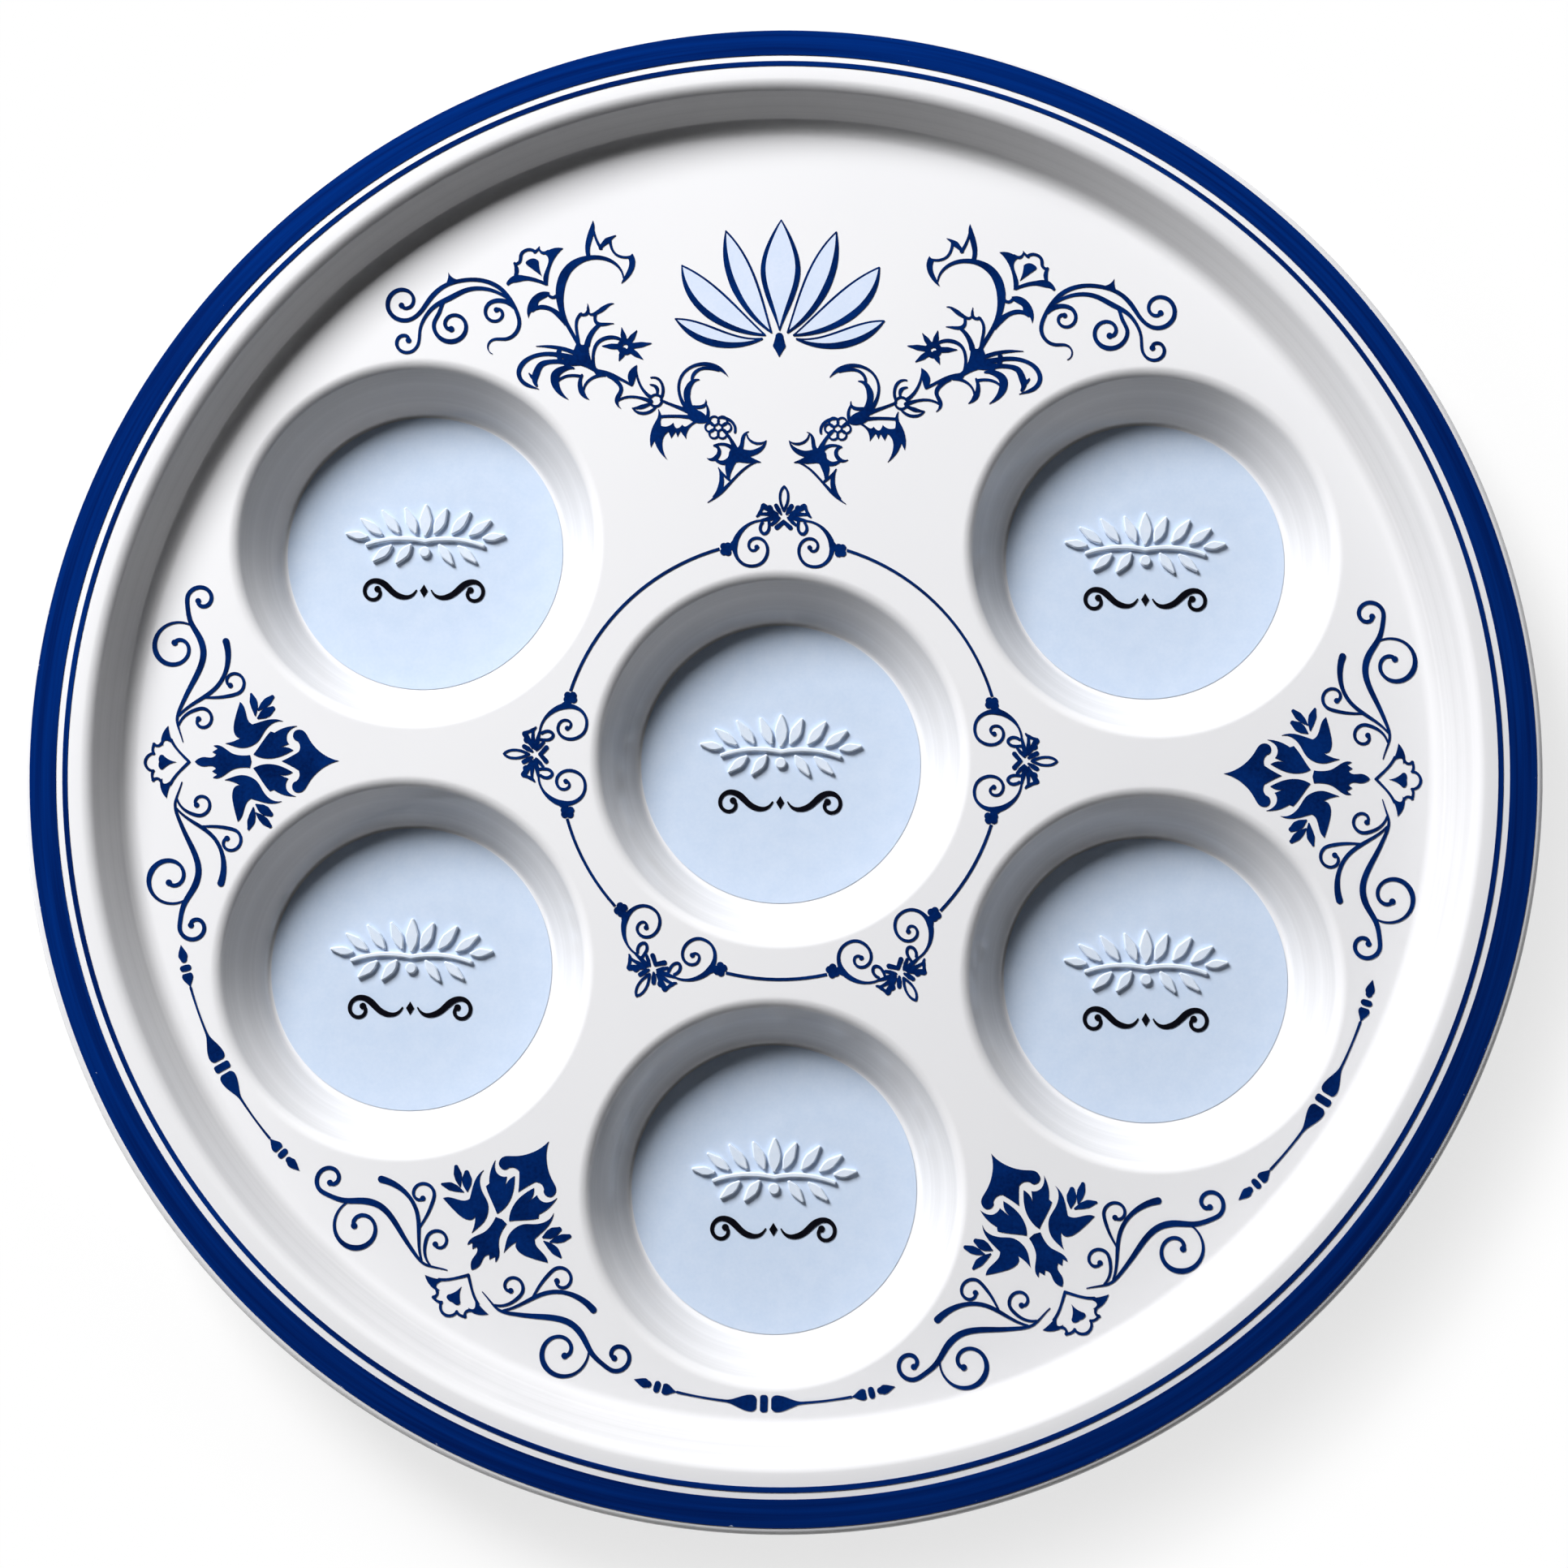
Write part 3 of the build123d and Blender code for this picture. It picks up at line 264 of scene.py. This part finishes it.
@dataclass(frozen=True)
class BandPrint:
    """Cobalt ink in a broad ring on the lip.

    It was laid on turning, so it is streaked along the ring, and its outer side is nicked.
    """

    name: str
    colour: str
    shade: str
    nick: str = "#AFC0DD"
    roughness: float = 0.1
    ior: float = 1.36
    streak_length: float = 60.0
    streak_width: float = 0.9
    tone_span: tuple[float, float] = (0.35, 0.65)
    gloss_span: tuple[float, float] = (0.3, 0.7)
    gloss_spread: tuple[float, float] = (-0.03, 0.03)
    nick_size: float = 1.4
    nick_span: tuple[float, float] = (0.74, 0.8)
    nick_reach: tuple[float, float] = (151.3, 152.0)
    nick_chance: float = 0.12

    def build(self) -> bpy.types.Material:
        """Makes the material.

        Returns:
            A material on Object coordinates.
        """
        material = bpy.data.materials.new(self.name)
        material.use_nodes = True
        tree = material.node_tree
        shader = tree.nodes["Principled BSDF"]
        place = add_node(tree, "TexCoord").outputs["Object"]
        axes = add_node(tree, "SeparateXYZ", {0: place}).outputs
        level = add_node(tree, "CombineXYZ", {0: axes["X"], 1: axes["Y"]}).outputs[0]
        reach = add_node(tree, "VectorMath", {0: level}, operation="LENGTH").outputs["Value"]
        # Round the ring by direction and across it by radius, so that there is no seam
        along = add_node(tree, "VectorMath", {0: level}, operation="NORMALIZE").outputs["Vector"]
        turns = self.nick_reach[0] / self.streak_length
        along = add_node(tree, "VectorMath", {0: along, 1: (turns, turns, 0)}, operation="MULTIPLY")
        across = add_node(tree, "Math", {0: reach, 1: per_metre(self.streak_width)}, operation="MULTIPLY")
        lift = add_node(tree, "CombineXYZ", {2: across.outputs[0]}).outputs[0]
        ring = add_node(tree, "VectorMath", {0: along.outputs["Vector"], 1: lift}, operation="ADD")
        streaks = add_node(tree, "TexNoise", {"Vector": ring.outputs["Vector"], "Scale": 1.0, "Detail": 4.0})
        tone = add_node(tree, "MapRange", {0: streaks.outputs["Fac"], 1: self.tone_span[0],
                                           2: self.tone_span[1]})
        ink = add_node(tree, "Mix", {0: tone.outputs[0], "A": linear(self.colour), "B": linear(self.shade)},
                       data_type="RGBA")
        # Nicks, likelier along the outer side
        spots = add_node(tree, "TexNoise", {"Vector": place, "Scale": per_metre(self.nick_size),
                                            "Detail": 5.0, "Roughness": 0.65})
        outer = add_node(tree, "MapRange", {0: reach, 1: self.nick_reach[0] * MM, 2: self.nick_reach[1] * MM,
                                            4: self.nick_chance})
        chance = add_node(tree, "Math", {0: spots.outputs["Fac"], 1: outer.outputs[0]}, operation="ADD")
        nicks = add_node(tree, "MapRange", {0: chance.outputs[0], 1: self.nick_span[0], 2: self.nick_span[1]})
        colour = add_node(tree, "Mix", {0: nicks.outputs[0], "A": ink.outputs["Result"],
                                        "B": linear(self.nick)}, data_type="RGBA")
        tree.links.new(colour.outputs["Result"], shader.inputs["Base Color"])
        rough = add_node(tree, "MapRange", {0: streaks.outputs["Fac"], 1: self.gloss_span[0],
                                            2: self.gloss_span[1], 3: self.roughness + self.gloss_spread[0],
                                            4: self.roughness + self.gloss_spread[1]})
        tree.links.new(rough.outputs[0], shader.inputs["Roughness"])
        shader.inputs["IOR"].default_value = self.ior
        return material


FINISHES: dict[Slot, Melamine | Print | BandPrint] = {
    Slot.BODY: Melamine(),
    Slot.RIM: BandPrint("cobalt_band_print", "#012A75", "#011D5C"),
    Slot.ORNAMENT: Print("navy_scrollwork_print", "#032A6C", "#01194C"),
    Slot.FLOOR: Print("pale_blue_floor_print", "#CFDDF1", "#C8D8EE", cloud=4.0),
    Slot.SPRIG: Print("pale_blue_relief_print", "#DFE8F5", "#D6E2F2", cloud=4.0, roughness=0.16),
    Slot.FLOURISH: Print("black_print", "#07070D", "#0E0E16"),
    Slot.CREST: Print("pale_leaf_print", "#D3E0F6", "#DCE6F9", cloud=9.0),
}


@dataclass(frozen=True)
class Corner:
    """A corner of a turned outline: its distance from the axis, its height and its rounding."""

    reach: float
    height: float
    rounding: float = 0.0


@dataclass(frozen=True)
class Outline:
    """A run of corners that is turned about an upright axis."""

    corners: tuple[Corner, ...]
    arc_step: float = 5.0
    least_segments: int = 5

    def turn(self, steps: int) -> bmesh.types.BMesh:
        """Rounds the corners and spins the run about the Z axis.

        Args:
            steps: How many steps go round the axis.

        Returns:
            An open shell in metres.
        """
        shape = bmesh.new()
        points = [shape.verts.new((corner.reach * MM, 0, corner.height * MM)) for corner in self.corners]
        for first, second in zip(points, points[1:]):
            shape.edges.new((first, second))
        places = [point.co.copy() for point in points]
        for number, corner in enumerate(self.corners):
            if corner.rounding:
                before = places[number] - places[number - 1]
                after = places[number + 1] - places[number]
                bend = before.angle(after)
                segments = max(self.least_segments, round(degrees(bend) / self.arc_step))
                bmesh.ops.bevel(shape, geom=[points[number]], affect="VERTICES", offset_type="ABSOLUTE",
                                offset=corner.rounding * tan(bend / 2) * MM, segments=segments, profile=0.5,
                                material=-1)
        bmesh.ops.remove_doubles(shape, verts=shape.verts, dist=MERGE_DISTANCE)
        bmesh.ops.spin(shape, geom=shape.verts[:] + shape.edges[:], axis=(0, 0, 1), cent=(0, 0, 0),
                       angle=2 * pi, steps=steps, use_merge=True)
        return shape


@dataclass(frozen=True)
class Moulding:
    """The white plate: flat face with six wells, cove, bent lip, and a foot ring under each well."""

    wall: float = 3.0
    foot_height: float = 1.2
    foot_width: float = 2.4
    foot_inset: float = 3.0
    foot_round: float = 0.5
    well_floor_radius: float = 29.3
    well_depth: float = 11.0
    well_wall_angle: float = 54.0
    well_floor_fillet: float = 1.0
    well_lip_fillet: float = 2.8
    well_root_fillet: float = 2.0
    well_web: float = 9.6
    outer_well_angles: tuple[float, ...] = (30, 150, 210, 270, 330)
    face_margin: float = 4.9
    cove_rise: float = 8.3
    cove_angle: float = 55.5
    cove_foot_fillet: float = 4.0
    cove_lip_fillet: float = 3.0
    under_lip_fillet: float = 1.5
    lip_flat: float = 0.2
    lip_bend: float = 69.5
    lip_turn: float = 8.0
    flat_ring: float = 0.35
    dish_steps: int = 360
    well_steps: int = 144
    under_steps: int = 96

    @property
    def floor_z(self) -> float:
        """Height of the wells' floors."""
        return self.foot_height + self.wall

    @property
    def face_z(self) -> float:
        """Height of the flat face."""
        return self.floor_z + self.well_depth

    @property
    def rim_z(self) -> float:
        """Height of the lip's top."""
        return self.face_z + self.cove_rise

    @property
    def well_half_turn(self) -> float:
        """Tangent of half the bend between a well's floor or mouth and its wall."""
        return tan(radians(self.well_wall_angle / 2))

    @property
    def cove_half_turn(self) -> float:
        """Tangent of half the bend between the face or the lip and the cove."""
        return tan(radians(self.cove_angle / 2))

    @property
    def well_floor_corner(self) -> float:
        """Where a well's wall would meet its floor without the rounding."""
        return self.well_floor_radius + self.well_floor_fillet * self.well_half_turn

    @property
    def well_run(self) -> float:
        """How far a well's wall reaches out on its way up."""
        return self.well_depth / tan(radians(self.well_wall_angle))

    @property
    def well_mouth_radius(self) -> float:
        """Where a well's rounded mouth meets the flat face."""
        return self.well_floor_corner + self.well_run + self.well_lip_fillet * self.well_half_turn

    @property
    def well_circle_radius(self) -> float:
        """Distance from the plate's middle to the outer wells' middles."""
        return 2 * self.well_mouth_radius + self.well_web

    @property
    def face_radius(self) -> float:
        """Where the flat face ends at the cove."""
        return self.well_circle_radius + self.well_mouth_radius + self.face_margin

    @property
    def cove_foot_corner(self) -> float:
        """Where the cove would meet the face without the rounding."""
        return self.face_radius + self.cove_foot_fillet * self.cove_half_turn

    @property
    def cove_lip_corner(self) -> float:
        """Where the cove would meet the lip without the rounding."""
        return self.cove_foot_corner + self.cove_rise / tan(radians(self.cove_angle))

    @property
    def lip_start(self) -> float:
        """Where the lip starts to bend down."""
        rounding = max(self.cove_lip_fillet, self.wall + self.under_lip_fillet)
        return self.cove_lip_corner + rounding * self.cove_half_turn + self.lip_flat

    @property
    def plate_radius(self) -> float:
        """The plate's outer radius."""
        return self.lip_start + (self.lip_bend - self.wall / 2) * sin(radians(self.lip_turn)) + self.wall / 2

    def lip_point(self, rise: float, past: float = 0.0) -> tuple[float, float]:
        """A point off the end of the lip's bend.

        Args:
            rise: Distance from the middle of the bend.
            past: Distance beyond its end, along the lip.

        Returns:
            Distance from the plate's axis and height.
        """
        turn = radians(self.lip_turn)
        reach = self.lip_start + rise * sin(turn) + past * cos(turn)
        return reach, self.rim_z - self.lip_bend + rise * cos(turn) - past * sin(turn)

    def dish(self) -> Outline:
        """Draws the cove and the lip, from the top of the face round to its underside.

        Returns:
            The outline that is turned about the plate's axis.
        """
        under = self.face_z - self.wall
        tight = tan(radians(self.lip_turn / 2))
        inner = self.lip_bend - self.wall
        nose = self.wall / 2
        return Outline((
            Corner(self.face_radius - self.flat_ring, self.face_z),
            Corner(self.cove_foot_corner, self.face_z, self.cove_foot_fillet),
            Corner(self.cove_lip_corner, self.rim_z, self.cove_lip_fillet),
            Corner(self.lip_start + self.lip_bend * tight, self.rim_z, self.lip_bend),
            Corner(*self.lip_point(self.lip_bend, nose), nose),
            Corner(*self.lip_point(inner, nose), nose),
            Corner(self.lip_start + inner * tight, self.rim_z - self.wall, inner),
            Corner(self.cove_lip_corner + self.wall * self.cove_half_turn, self.rim_z - self.wall,
                   self.under_lip_fillet),
            Corner(self.cove_foot_corner + self.wall * self.cove_half_turn, under,
                   self.cove_foot_fillet + self.wall),
            Corner(self.face_radius - self.flat_ring, under),
        ))

    def well_top(self) -> Outline:
        """Draws a well's upper side, from the face in over its floor.

        Returns:
            The outline that is turned about the well's axis.
        """
        lip_corner = self.well_floor_corner + self.well_run
        return Outline((
            Corner(self.well_mouth_radius + self.flat_ring, self.face_z),
            Corner(lip_corner, self.face_z, self.well_lip_fillet),
            Corner(self.well_floor_corner, self.floor_z, self.well_floor_fillet),
            Corner(self.well_floor_radius - self.flat_ring, self.floor_z),
        ))

    def well_under(self) -> Outline:
        """Draws a well's underside, from under the face in over its foot ring.

        Returns:
            The outline that is turned about the well's axis.
        """
        under = self.face_z - self.wall
        boss = self.well_floor_corner + self.wall * self.well_half_turn
        root = boss + self.well_run
        foot = self.well_floor_radius - self.foot_inset
        return Outline((
            Corner(root + self.well_root_fillet * self.well_half_turn + self.flat_ring, under),
            Corner(root, under, self.well_root_fillet),
            Corner(boss, self.foot_height, self.well_floor_fillet + self.wall),
            Corner(foot, self.foot_height),
            Corner(foot, 0, self.foot_round),
            Corner(foot - self.foot_width, 0, self.foot_round),
            Corner(foot - self.foot_width, self.foot_height),
            Corner(foot - self.foot_width - self.flat_ring, self.foot_height),
        ), arc_step=9.0)

    def well_middles(self) -> list[Vector]:
        """Works out where the wells' axes stand.

        Returns:
            A point on each axis, in metres, the middle well's first.
        """
        reach = self.well_circle_radius * MM
        turns = [radians(angle) for angle in self.outer_well_angles]
        return [Vector((0, 0, 0)), *(Vector((reach * cos(turn), reach * sin(turn), 0)) for turn in turns)]

    def add_shell(self, shape: bmesh.types.BMesh, shell: bmesh.types.BMesh, middle: Vector) -> None:
        """Joins a turned shell to the plate's mesh.

        Args:
            shape: The plate's mesh.
            shell: The turned shell.
            middle: Where its axis stands.
        """
        mesh = bpy.data.meshes.new("shell")
        moved = shell.copy()
        bmesh.ops.translate(moved, verts=moved.verts, vec=middle)
        moved.to_mesh(mesh)
        moved.free()
        shape.from_mesh(mesh)
        bpy.data.meshes.remove(mesh)

    def fill_level(self, shape: bmesh.types.BMesh, height: float) -> None:
        """Fills the flat between the open rings at one height.

        Args:
            shape: The plate's mesh.
            height: Their height in millimetres.
        """
        rim = [edge for edge in shape.edges if edge.is_boundary
               and all(abs(vert.co.z - height * MM) < LEVEL_DISTANCE for vert in edge.verts)]
        bmesh.ops.triangle_fill(shape, edges=rim, use_beauty=True, use_dissolve=False, normal=(0, 0, 1))

    def build(self) -> bpy.types.Object:
        """Makes the moulding's mesh.

        Returns:
            The moulding's object.
        """
        shape = self.dish().turn(self.dish_steps)
        bmesh.ops.remove_doubles(shape, verts=shape.verts, dist=MERGE_DISTANCE)
        tops = self.well_top().turn(self.well_steps)
        unders = self.well_under().turn(self.under_steps)
        for middle in self.well_middles():
            self.add_shell(shape, tops, middle)
            self.add_shell(shape, unders, middle)
        tops.free()
        unders.free()
        for height in (self.face_z, self.face_z - self.wall, self.floor_z, self.foot_height):
            self.fill_level(shape, height)
        bmesh.ops.remove_doubles(shape, verts=shape.verts, dist=MERGE_DISTANCE)
        bmesh.ops.recalc_face_normals(shape, faces=shape.faces)
        return new_piece("moulding", shape)


@dataclass(frozen=True)
class LipRing:
    """A printed ring that follows the bend of the lip, between two distances from the plate's edge."""

    name: str
    outer_margin: float
    inner_margin: float
    moulding: Moulding = field(default_factory=Moulding)
    film: float = 0.15
    arc_steps: int = 10

    def build(self) -> bpy.types.Object:
        """Makes the ring's mesh.

        Returns:
            The ring's object.
        """
        plate = self.moulding
        middle = Vector((plate.lip_start, 0, plate.rim_z - plate.lip_bend)) * MM
        turns = [asin((plate.plate_radius - margin - plate.lip_start) / plate.lip_bend)
                 for margin in (self.inner_margin, self.outer_margin)]
        shape = bmesh.new()
        start = shape.verts.new(middle + Vector((sin(turns[0]), 0, cos(turns[0]))) * plate.lip_bend * MM)
        bmesh.ops.spin(shape, geom=[start], axis=(0, 1, 0), cent=middle, angle=turns[1] - turns[0],
                       steps=self.arc_steps)
        bmesh.ops.spin(shape, geom=shape.verts[:] + shape.edges[:], axis=(0, 0, 1), cent=(0, 0, 0),
                       angle=2 * pi, steps=plate.dish_steps, use_merge=True)
        bmesh.ops.remove_doubles(shape, verts=shape.verts, dist=MERGE_DISTANCE)
        bmesh.ops.recalc_face_normals(shape, faces=shape.faces)
        # The film grows away from its faces, so they are turned down to the lip first
        bmesh.ops.reverse_faces(shape, faces=shape.faces)
        bmesh.ops.solidify(shape, geom=shape.faces[:], thickness=self.film * MM)
        return new_piece(self.name, shape)


def new_piece(name: str, shape: bmesh.types.BMesh) -> bpy.types.Object:
    """Makes a smooth-shaded object of a finished bmesh, sharp only at its true corners.

    Args:
        name: The piece's name.
        shape: Its mesh, which is freed.

    Returns:
        The piece, at the origin.
    """
    mesh = bpy.data.meshes.new(name)
    for face in shape.faces:
        face.smooth = True
    shape.to_mesh(mesh)
    shape.free()
    mesh.set_sharp_from_angle(angle=radians(SHARP_ANGLE))
    piece = bpy.data.objects.new(name, mesh)
    bpy.context.scene.collection.objects.link(piece)
    return piece


@dataclass(frozen=True)
class PhotoCamera:
    """The camera, fitted to the circles of the rim, the face and the wells."""

    target: tuple[float, float, float] = (0.95, -5.43, 15.0)
    distance: float = 469.1
    lean_right: float = 1.07
    lean_down: float = 6.15
    roll: float = -0.9
    focal_pixels: float = 2821.2
    frame_pixels: float = 1932.0
    sensor: float = 36.0

    def build(self) -> bpy.types.Object:
        """Makes the scene's camera.

        Returns:
            The camera object.
        """
        across = sin(radians(self.lean_right))
        down = -sin(radians(self.lean_down))
        back = Vector((across, down, sqrt(1 - across**2 - down**2)))
        right = Vector((sin(radians(self.roll)), cos(radians(self.roll)), 0)).cross(back).normalized()
        up = back.cross(right)
        data = bpy.data.cameras.new("camera")
        data.sensor_width = self.sensor
        data.lens = self.focal_pixels / self.frame_pixels * self.sensor
        camera = bpy.data.objects.new("camera", data)
        turn = Matrix((right, up, back)).transposed().to_4x4()
        place = (Vector(self.target) + self.distance * back) * MM
        camera.matrix_world = Matrix.Translation(place) @ turn
        bpy.context.scene.collection.objects.link(camera)
        bpy.context.scene.camera = camera
        return camera


@dataclass(frozen=True)
class SoftBox:
    """A soft studio lamp aimed at the plate, placed by the side it stands on."""

    name: str
    bearing: float
    height_angle: float
    distance: float
    size: float
    power: float
    lights: bool = True
    glints: bool = True

    def build(self) -> bpy.types.Object:
        """Makes the lamp.

        Returns:
            The lamp object.
        """
        data = bpy.data.lights.new(self.name, "AREA")
        data.shape = "SQUARE"
        data.size = self.size * MM
        data.energy = self.power
        lamp = bpy.data.objects.new(self.name, data)
        level = cos(radians(self.height_angle))
        aim = Vector((level * cos(radians(self.bearing)), level * sin(radians(self.bearing)),
                      sin(radians(self.height_angle))))
        turn = aim.to_track_quat("Z", "Y").to_matrix().to_4x4()
        lamp.matrix_world = Matrix.Translation(aim * self.distance * MM) @ turn
        lamp.visible_diffuse = self.lights
        lamp.visible_glossy = self.glints
        bpy.context.scene.collection.objects.link(lamp)
        return lamp


@dataclass(frozen=True)
class Studio:
    """Pale floor, dim sky that shows white behind the plate, and the lamps."""

    floor_radius: float = 20000.0
    floor_sides: int = 96
    floor_drop: float = 0.1
    floor_colour: str = "#FCFCFC"
    floor_roughness: float = 0.9
    floor_gloss: float = 0.1
    floor_lift: float = 0.74
    shadow_reach: tuple[float, float] = (158.0, 192.0)
    backdrop: float = 1.0
    sky_low: float = 0.02
    sky_high: float = 0.05
    sky_top: float = 0.9
    backdrop_height: tuple[float, float] = (0.1, 0.25)
    # The key lamp is polarised, as for tableware, so that only a little of its glare is left in the gloss
    lamps: tuple[SoftBox, ...] = (
        SoftBox("key_lamp", bearing=126, height_angle=34, distance=1800, size=675, power=56.0, glints=False),
        SoftBox("key_glare", bearing=126, height_angle=34, distance=1800, size=675, power=3.3, lights=False),
    )

    def build_floor(self) -> bpy.types.Object:
        """Makes the floor, which shows white to the camera and keeps the plate's shadow.

        Returns:
            The floor object.
        """
        mesh = bpy.data.meshes.new("floor")
        shape = bmesh.new()
        bmesh.ops.create_circle(shape, cap_ends=True, radius=self.floor_radius * MM,
                                segments=self.floor_sides)
        bmesh.ops.translate(shape, verts=shape.verts, vec=(0, 0, -self.floor_drop * MM))
        shape.to_mesh(mesh)
        shape.free()
        material = bpy.data.materials.new("white_paper_sweep")
        material.use_nodes = True
        tree = material.node_tree
        shader = tree.nodes["Principled BSDF"]
        shader.inputs["Roughness"].default_value = self.floor_roughness
        shader.inputs["Specular IOR Level"].default_value = self.floor_gloss
        shader.inputs["Emission Color"].default_value = (1, 1, 1, 1)
        # Near the plate the floor shows its shadow, and further out it is plain white
        place = add_node(tree, "TexCoord").outputs["Object"]
        reach = add_node(tree, "VectorMath", {0: place}, operation="LENGTH").outputs["Value"]
        glow = add_node(tree, "MapRange", {0: reach, 1: self.shadow_reach[0] * MM,
                                           2: self.shadow_reach[1] * MM, 3: self.floor_lift,
                                           4: self.backdrop}, interpolation_type="SMOOTHSTEP")
        path = add_node(tree, "LightPath").outputs
        seen: bpy.types.NodeSocket = path["Is Camera Ray"]
        for other in ("Is Glossy Ray", "Is Transmission Ray"):
            seen = add_node(tree, "Math", {0: seen, 1: path[other]}, operation="MAXIMUM").outputs[0]
        lift = add_node(tree, "Math", {0: seen, 1: glow.outputs[0]}, operation="MULTIPLY")
        tree.links.new(lift.outputs[0], shader.inputs["Emission Strength"])
        colour = add_node(tree, "Mix", {0: lift.outputs[0], "A": linear(self.floor_colour),
                                        "B": (0, 0, 0, 1)}, data_type="RGBA")
        tree.links.new(colour.outputs["Result"], shader.inputs["Base Color"])
        mesh.materials.append(material)
        floor = bpy.data.objects.new("floor", mesh)
        bpy.context.scene.collection.objects.link(floor)
        return floor

    def build_sky(self) -> None:
        """Lights the world dimly. The camera sees it white, and reflections see a low white backdrop."""
        world = bpy.data.worlds.new("studio_sky")
        bpy.context.scene.world = world
        world.use_nodes = True
        tree = world.node_tree
        path = add_node(tree, "LightPath").outputs
        direction = add_node(tree, "TexCoord").outputs["Generated"]
        height = add_node(tree, "SeparateXYZ", {0: direction}).outputs["Z"]
        light = add_node(tree, "MapRange", {0: height, 1: 0.0, 2: self.sky_top, 3: self.sky_low,
                                            4: self.sky_high})
        low = add_node(tree, "MapRange", {0: height, 1: self.backdrop_height[0], 2: self.backdrop_height[1],
                                          3: self.backdrop, 4: self.sky_low})
        bounced = add_node(tree, "Math", {0: path["Is Glossy Ray"], 1: path["Is Transmission Ray"]},
                           operation="MAXIMUM")
        unseen = add_node(tree, "Mix", {0: bounced.outputs[0], "A": light.outputs[0], "B": low.outputs[0]})
        level = add_node(tree, "Mix", {0: path["Is Camera Ray"], "A": unseen.outputs["Result"],
                                       "B": self.backdrop})
        tree.links.new(level.outputs["Result"], tree.nodes["Background"].inputs["Strength"])
        tree.nodes["Background"].inputs["Color"].default_value = (1, 1, 1, 1)

    def build(self) -> None:
        """Makes the floor, the sky and the lamps."""
        self.build_floor()
        self.build_sky()
        for lamp in self.lamps:
            lamp.build()


def dress(piece: bpy.types.Object, material: bpy.types.Material) -> None:
    """Gives a piece its one material."""
    piece.data.materials.clear()
    piece.data.materials.append(material)


def corners(box: tuple[Vector, Vector]) -> list[list[float]]:
    """A box's two corners as plain lists."""
    return [list(corner) for corner in box]


def main() -> None:
    """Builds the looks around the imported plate."""
    logging.basicConfig(level=logging.INFO)
    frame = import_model()
    materials = {slot: finish.build() for slot, finish in FINISHES.items()}
    for subpart in frame["record"]["subparts"]:
        node = frame["nodes"][subpart["node"]]
        dress(node, materials[Slot(subpart["material_slot"])])
        LOG.info("%s: %s", node.name, subpart["material_slot"])
    turned = {
        "plate_body": (Moulding().build(), Slot.BODY),
        "rim_band": (LipRing("rim_band_print", outer_margin=1.6, inner_margin=7.1).build(), Slot.RIM),
        "rim_line": (LipRing("rim_line_print", outer_margin=8.45, inner_margin=9.45).build(), Slot.RIM),
    }
    for node_name, (piece, slot) in turned.items():
        dress(piece, materials[slot])
        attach(piece, "root")
        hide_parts(node_name)
        piece.data.calc_loop_triangles()
        LOG.info("%s: %d triangles, for %s", piece.name, len(piece.data.loop_triangles), node_name)
    Studio().build()
    PhotoCamera().build()
    bpy.context.scene.view_settings.view_transform = "Standard"


if __name__ == "__main__":
    main()
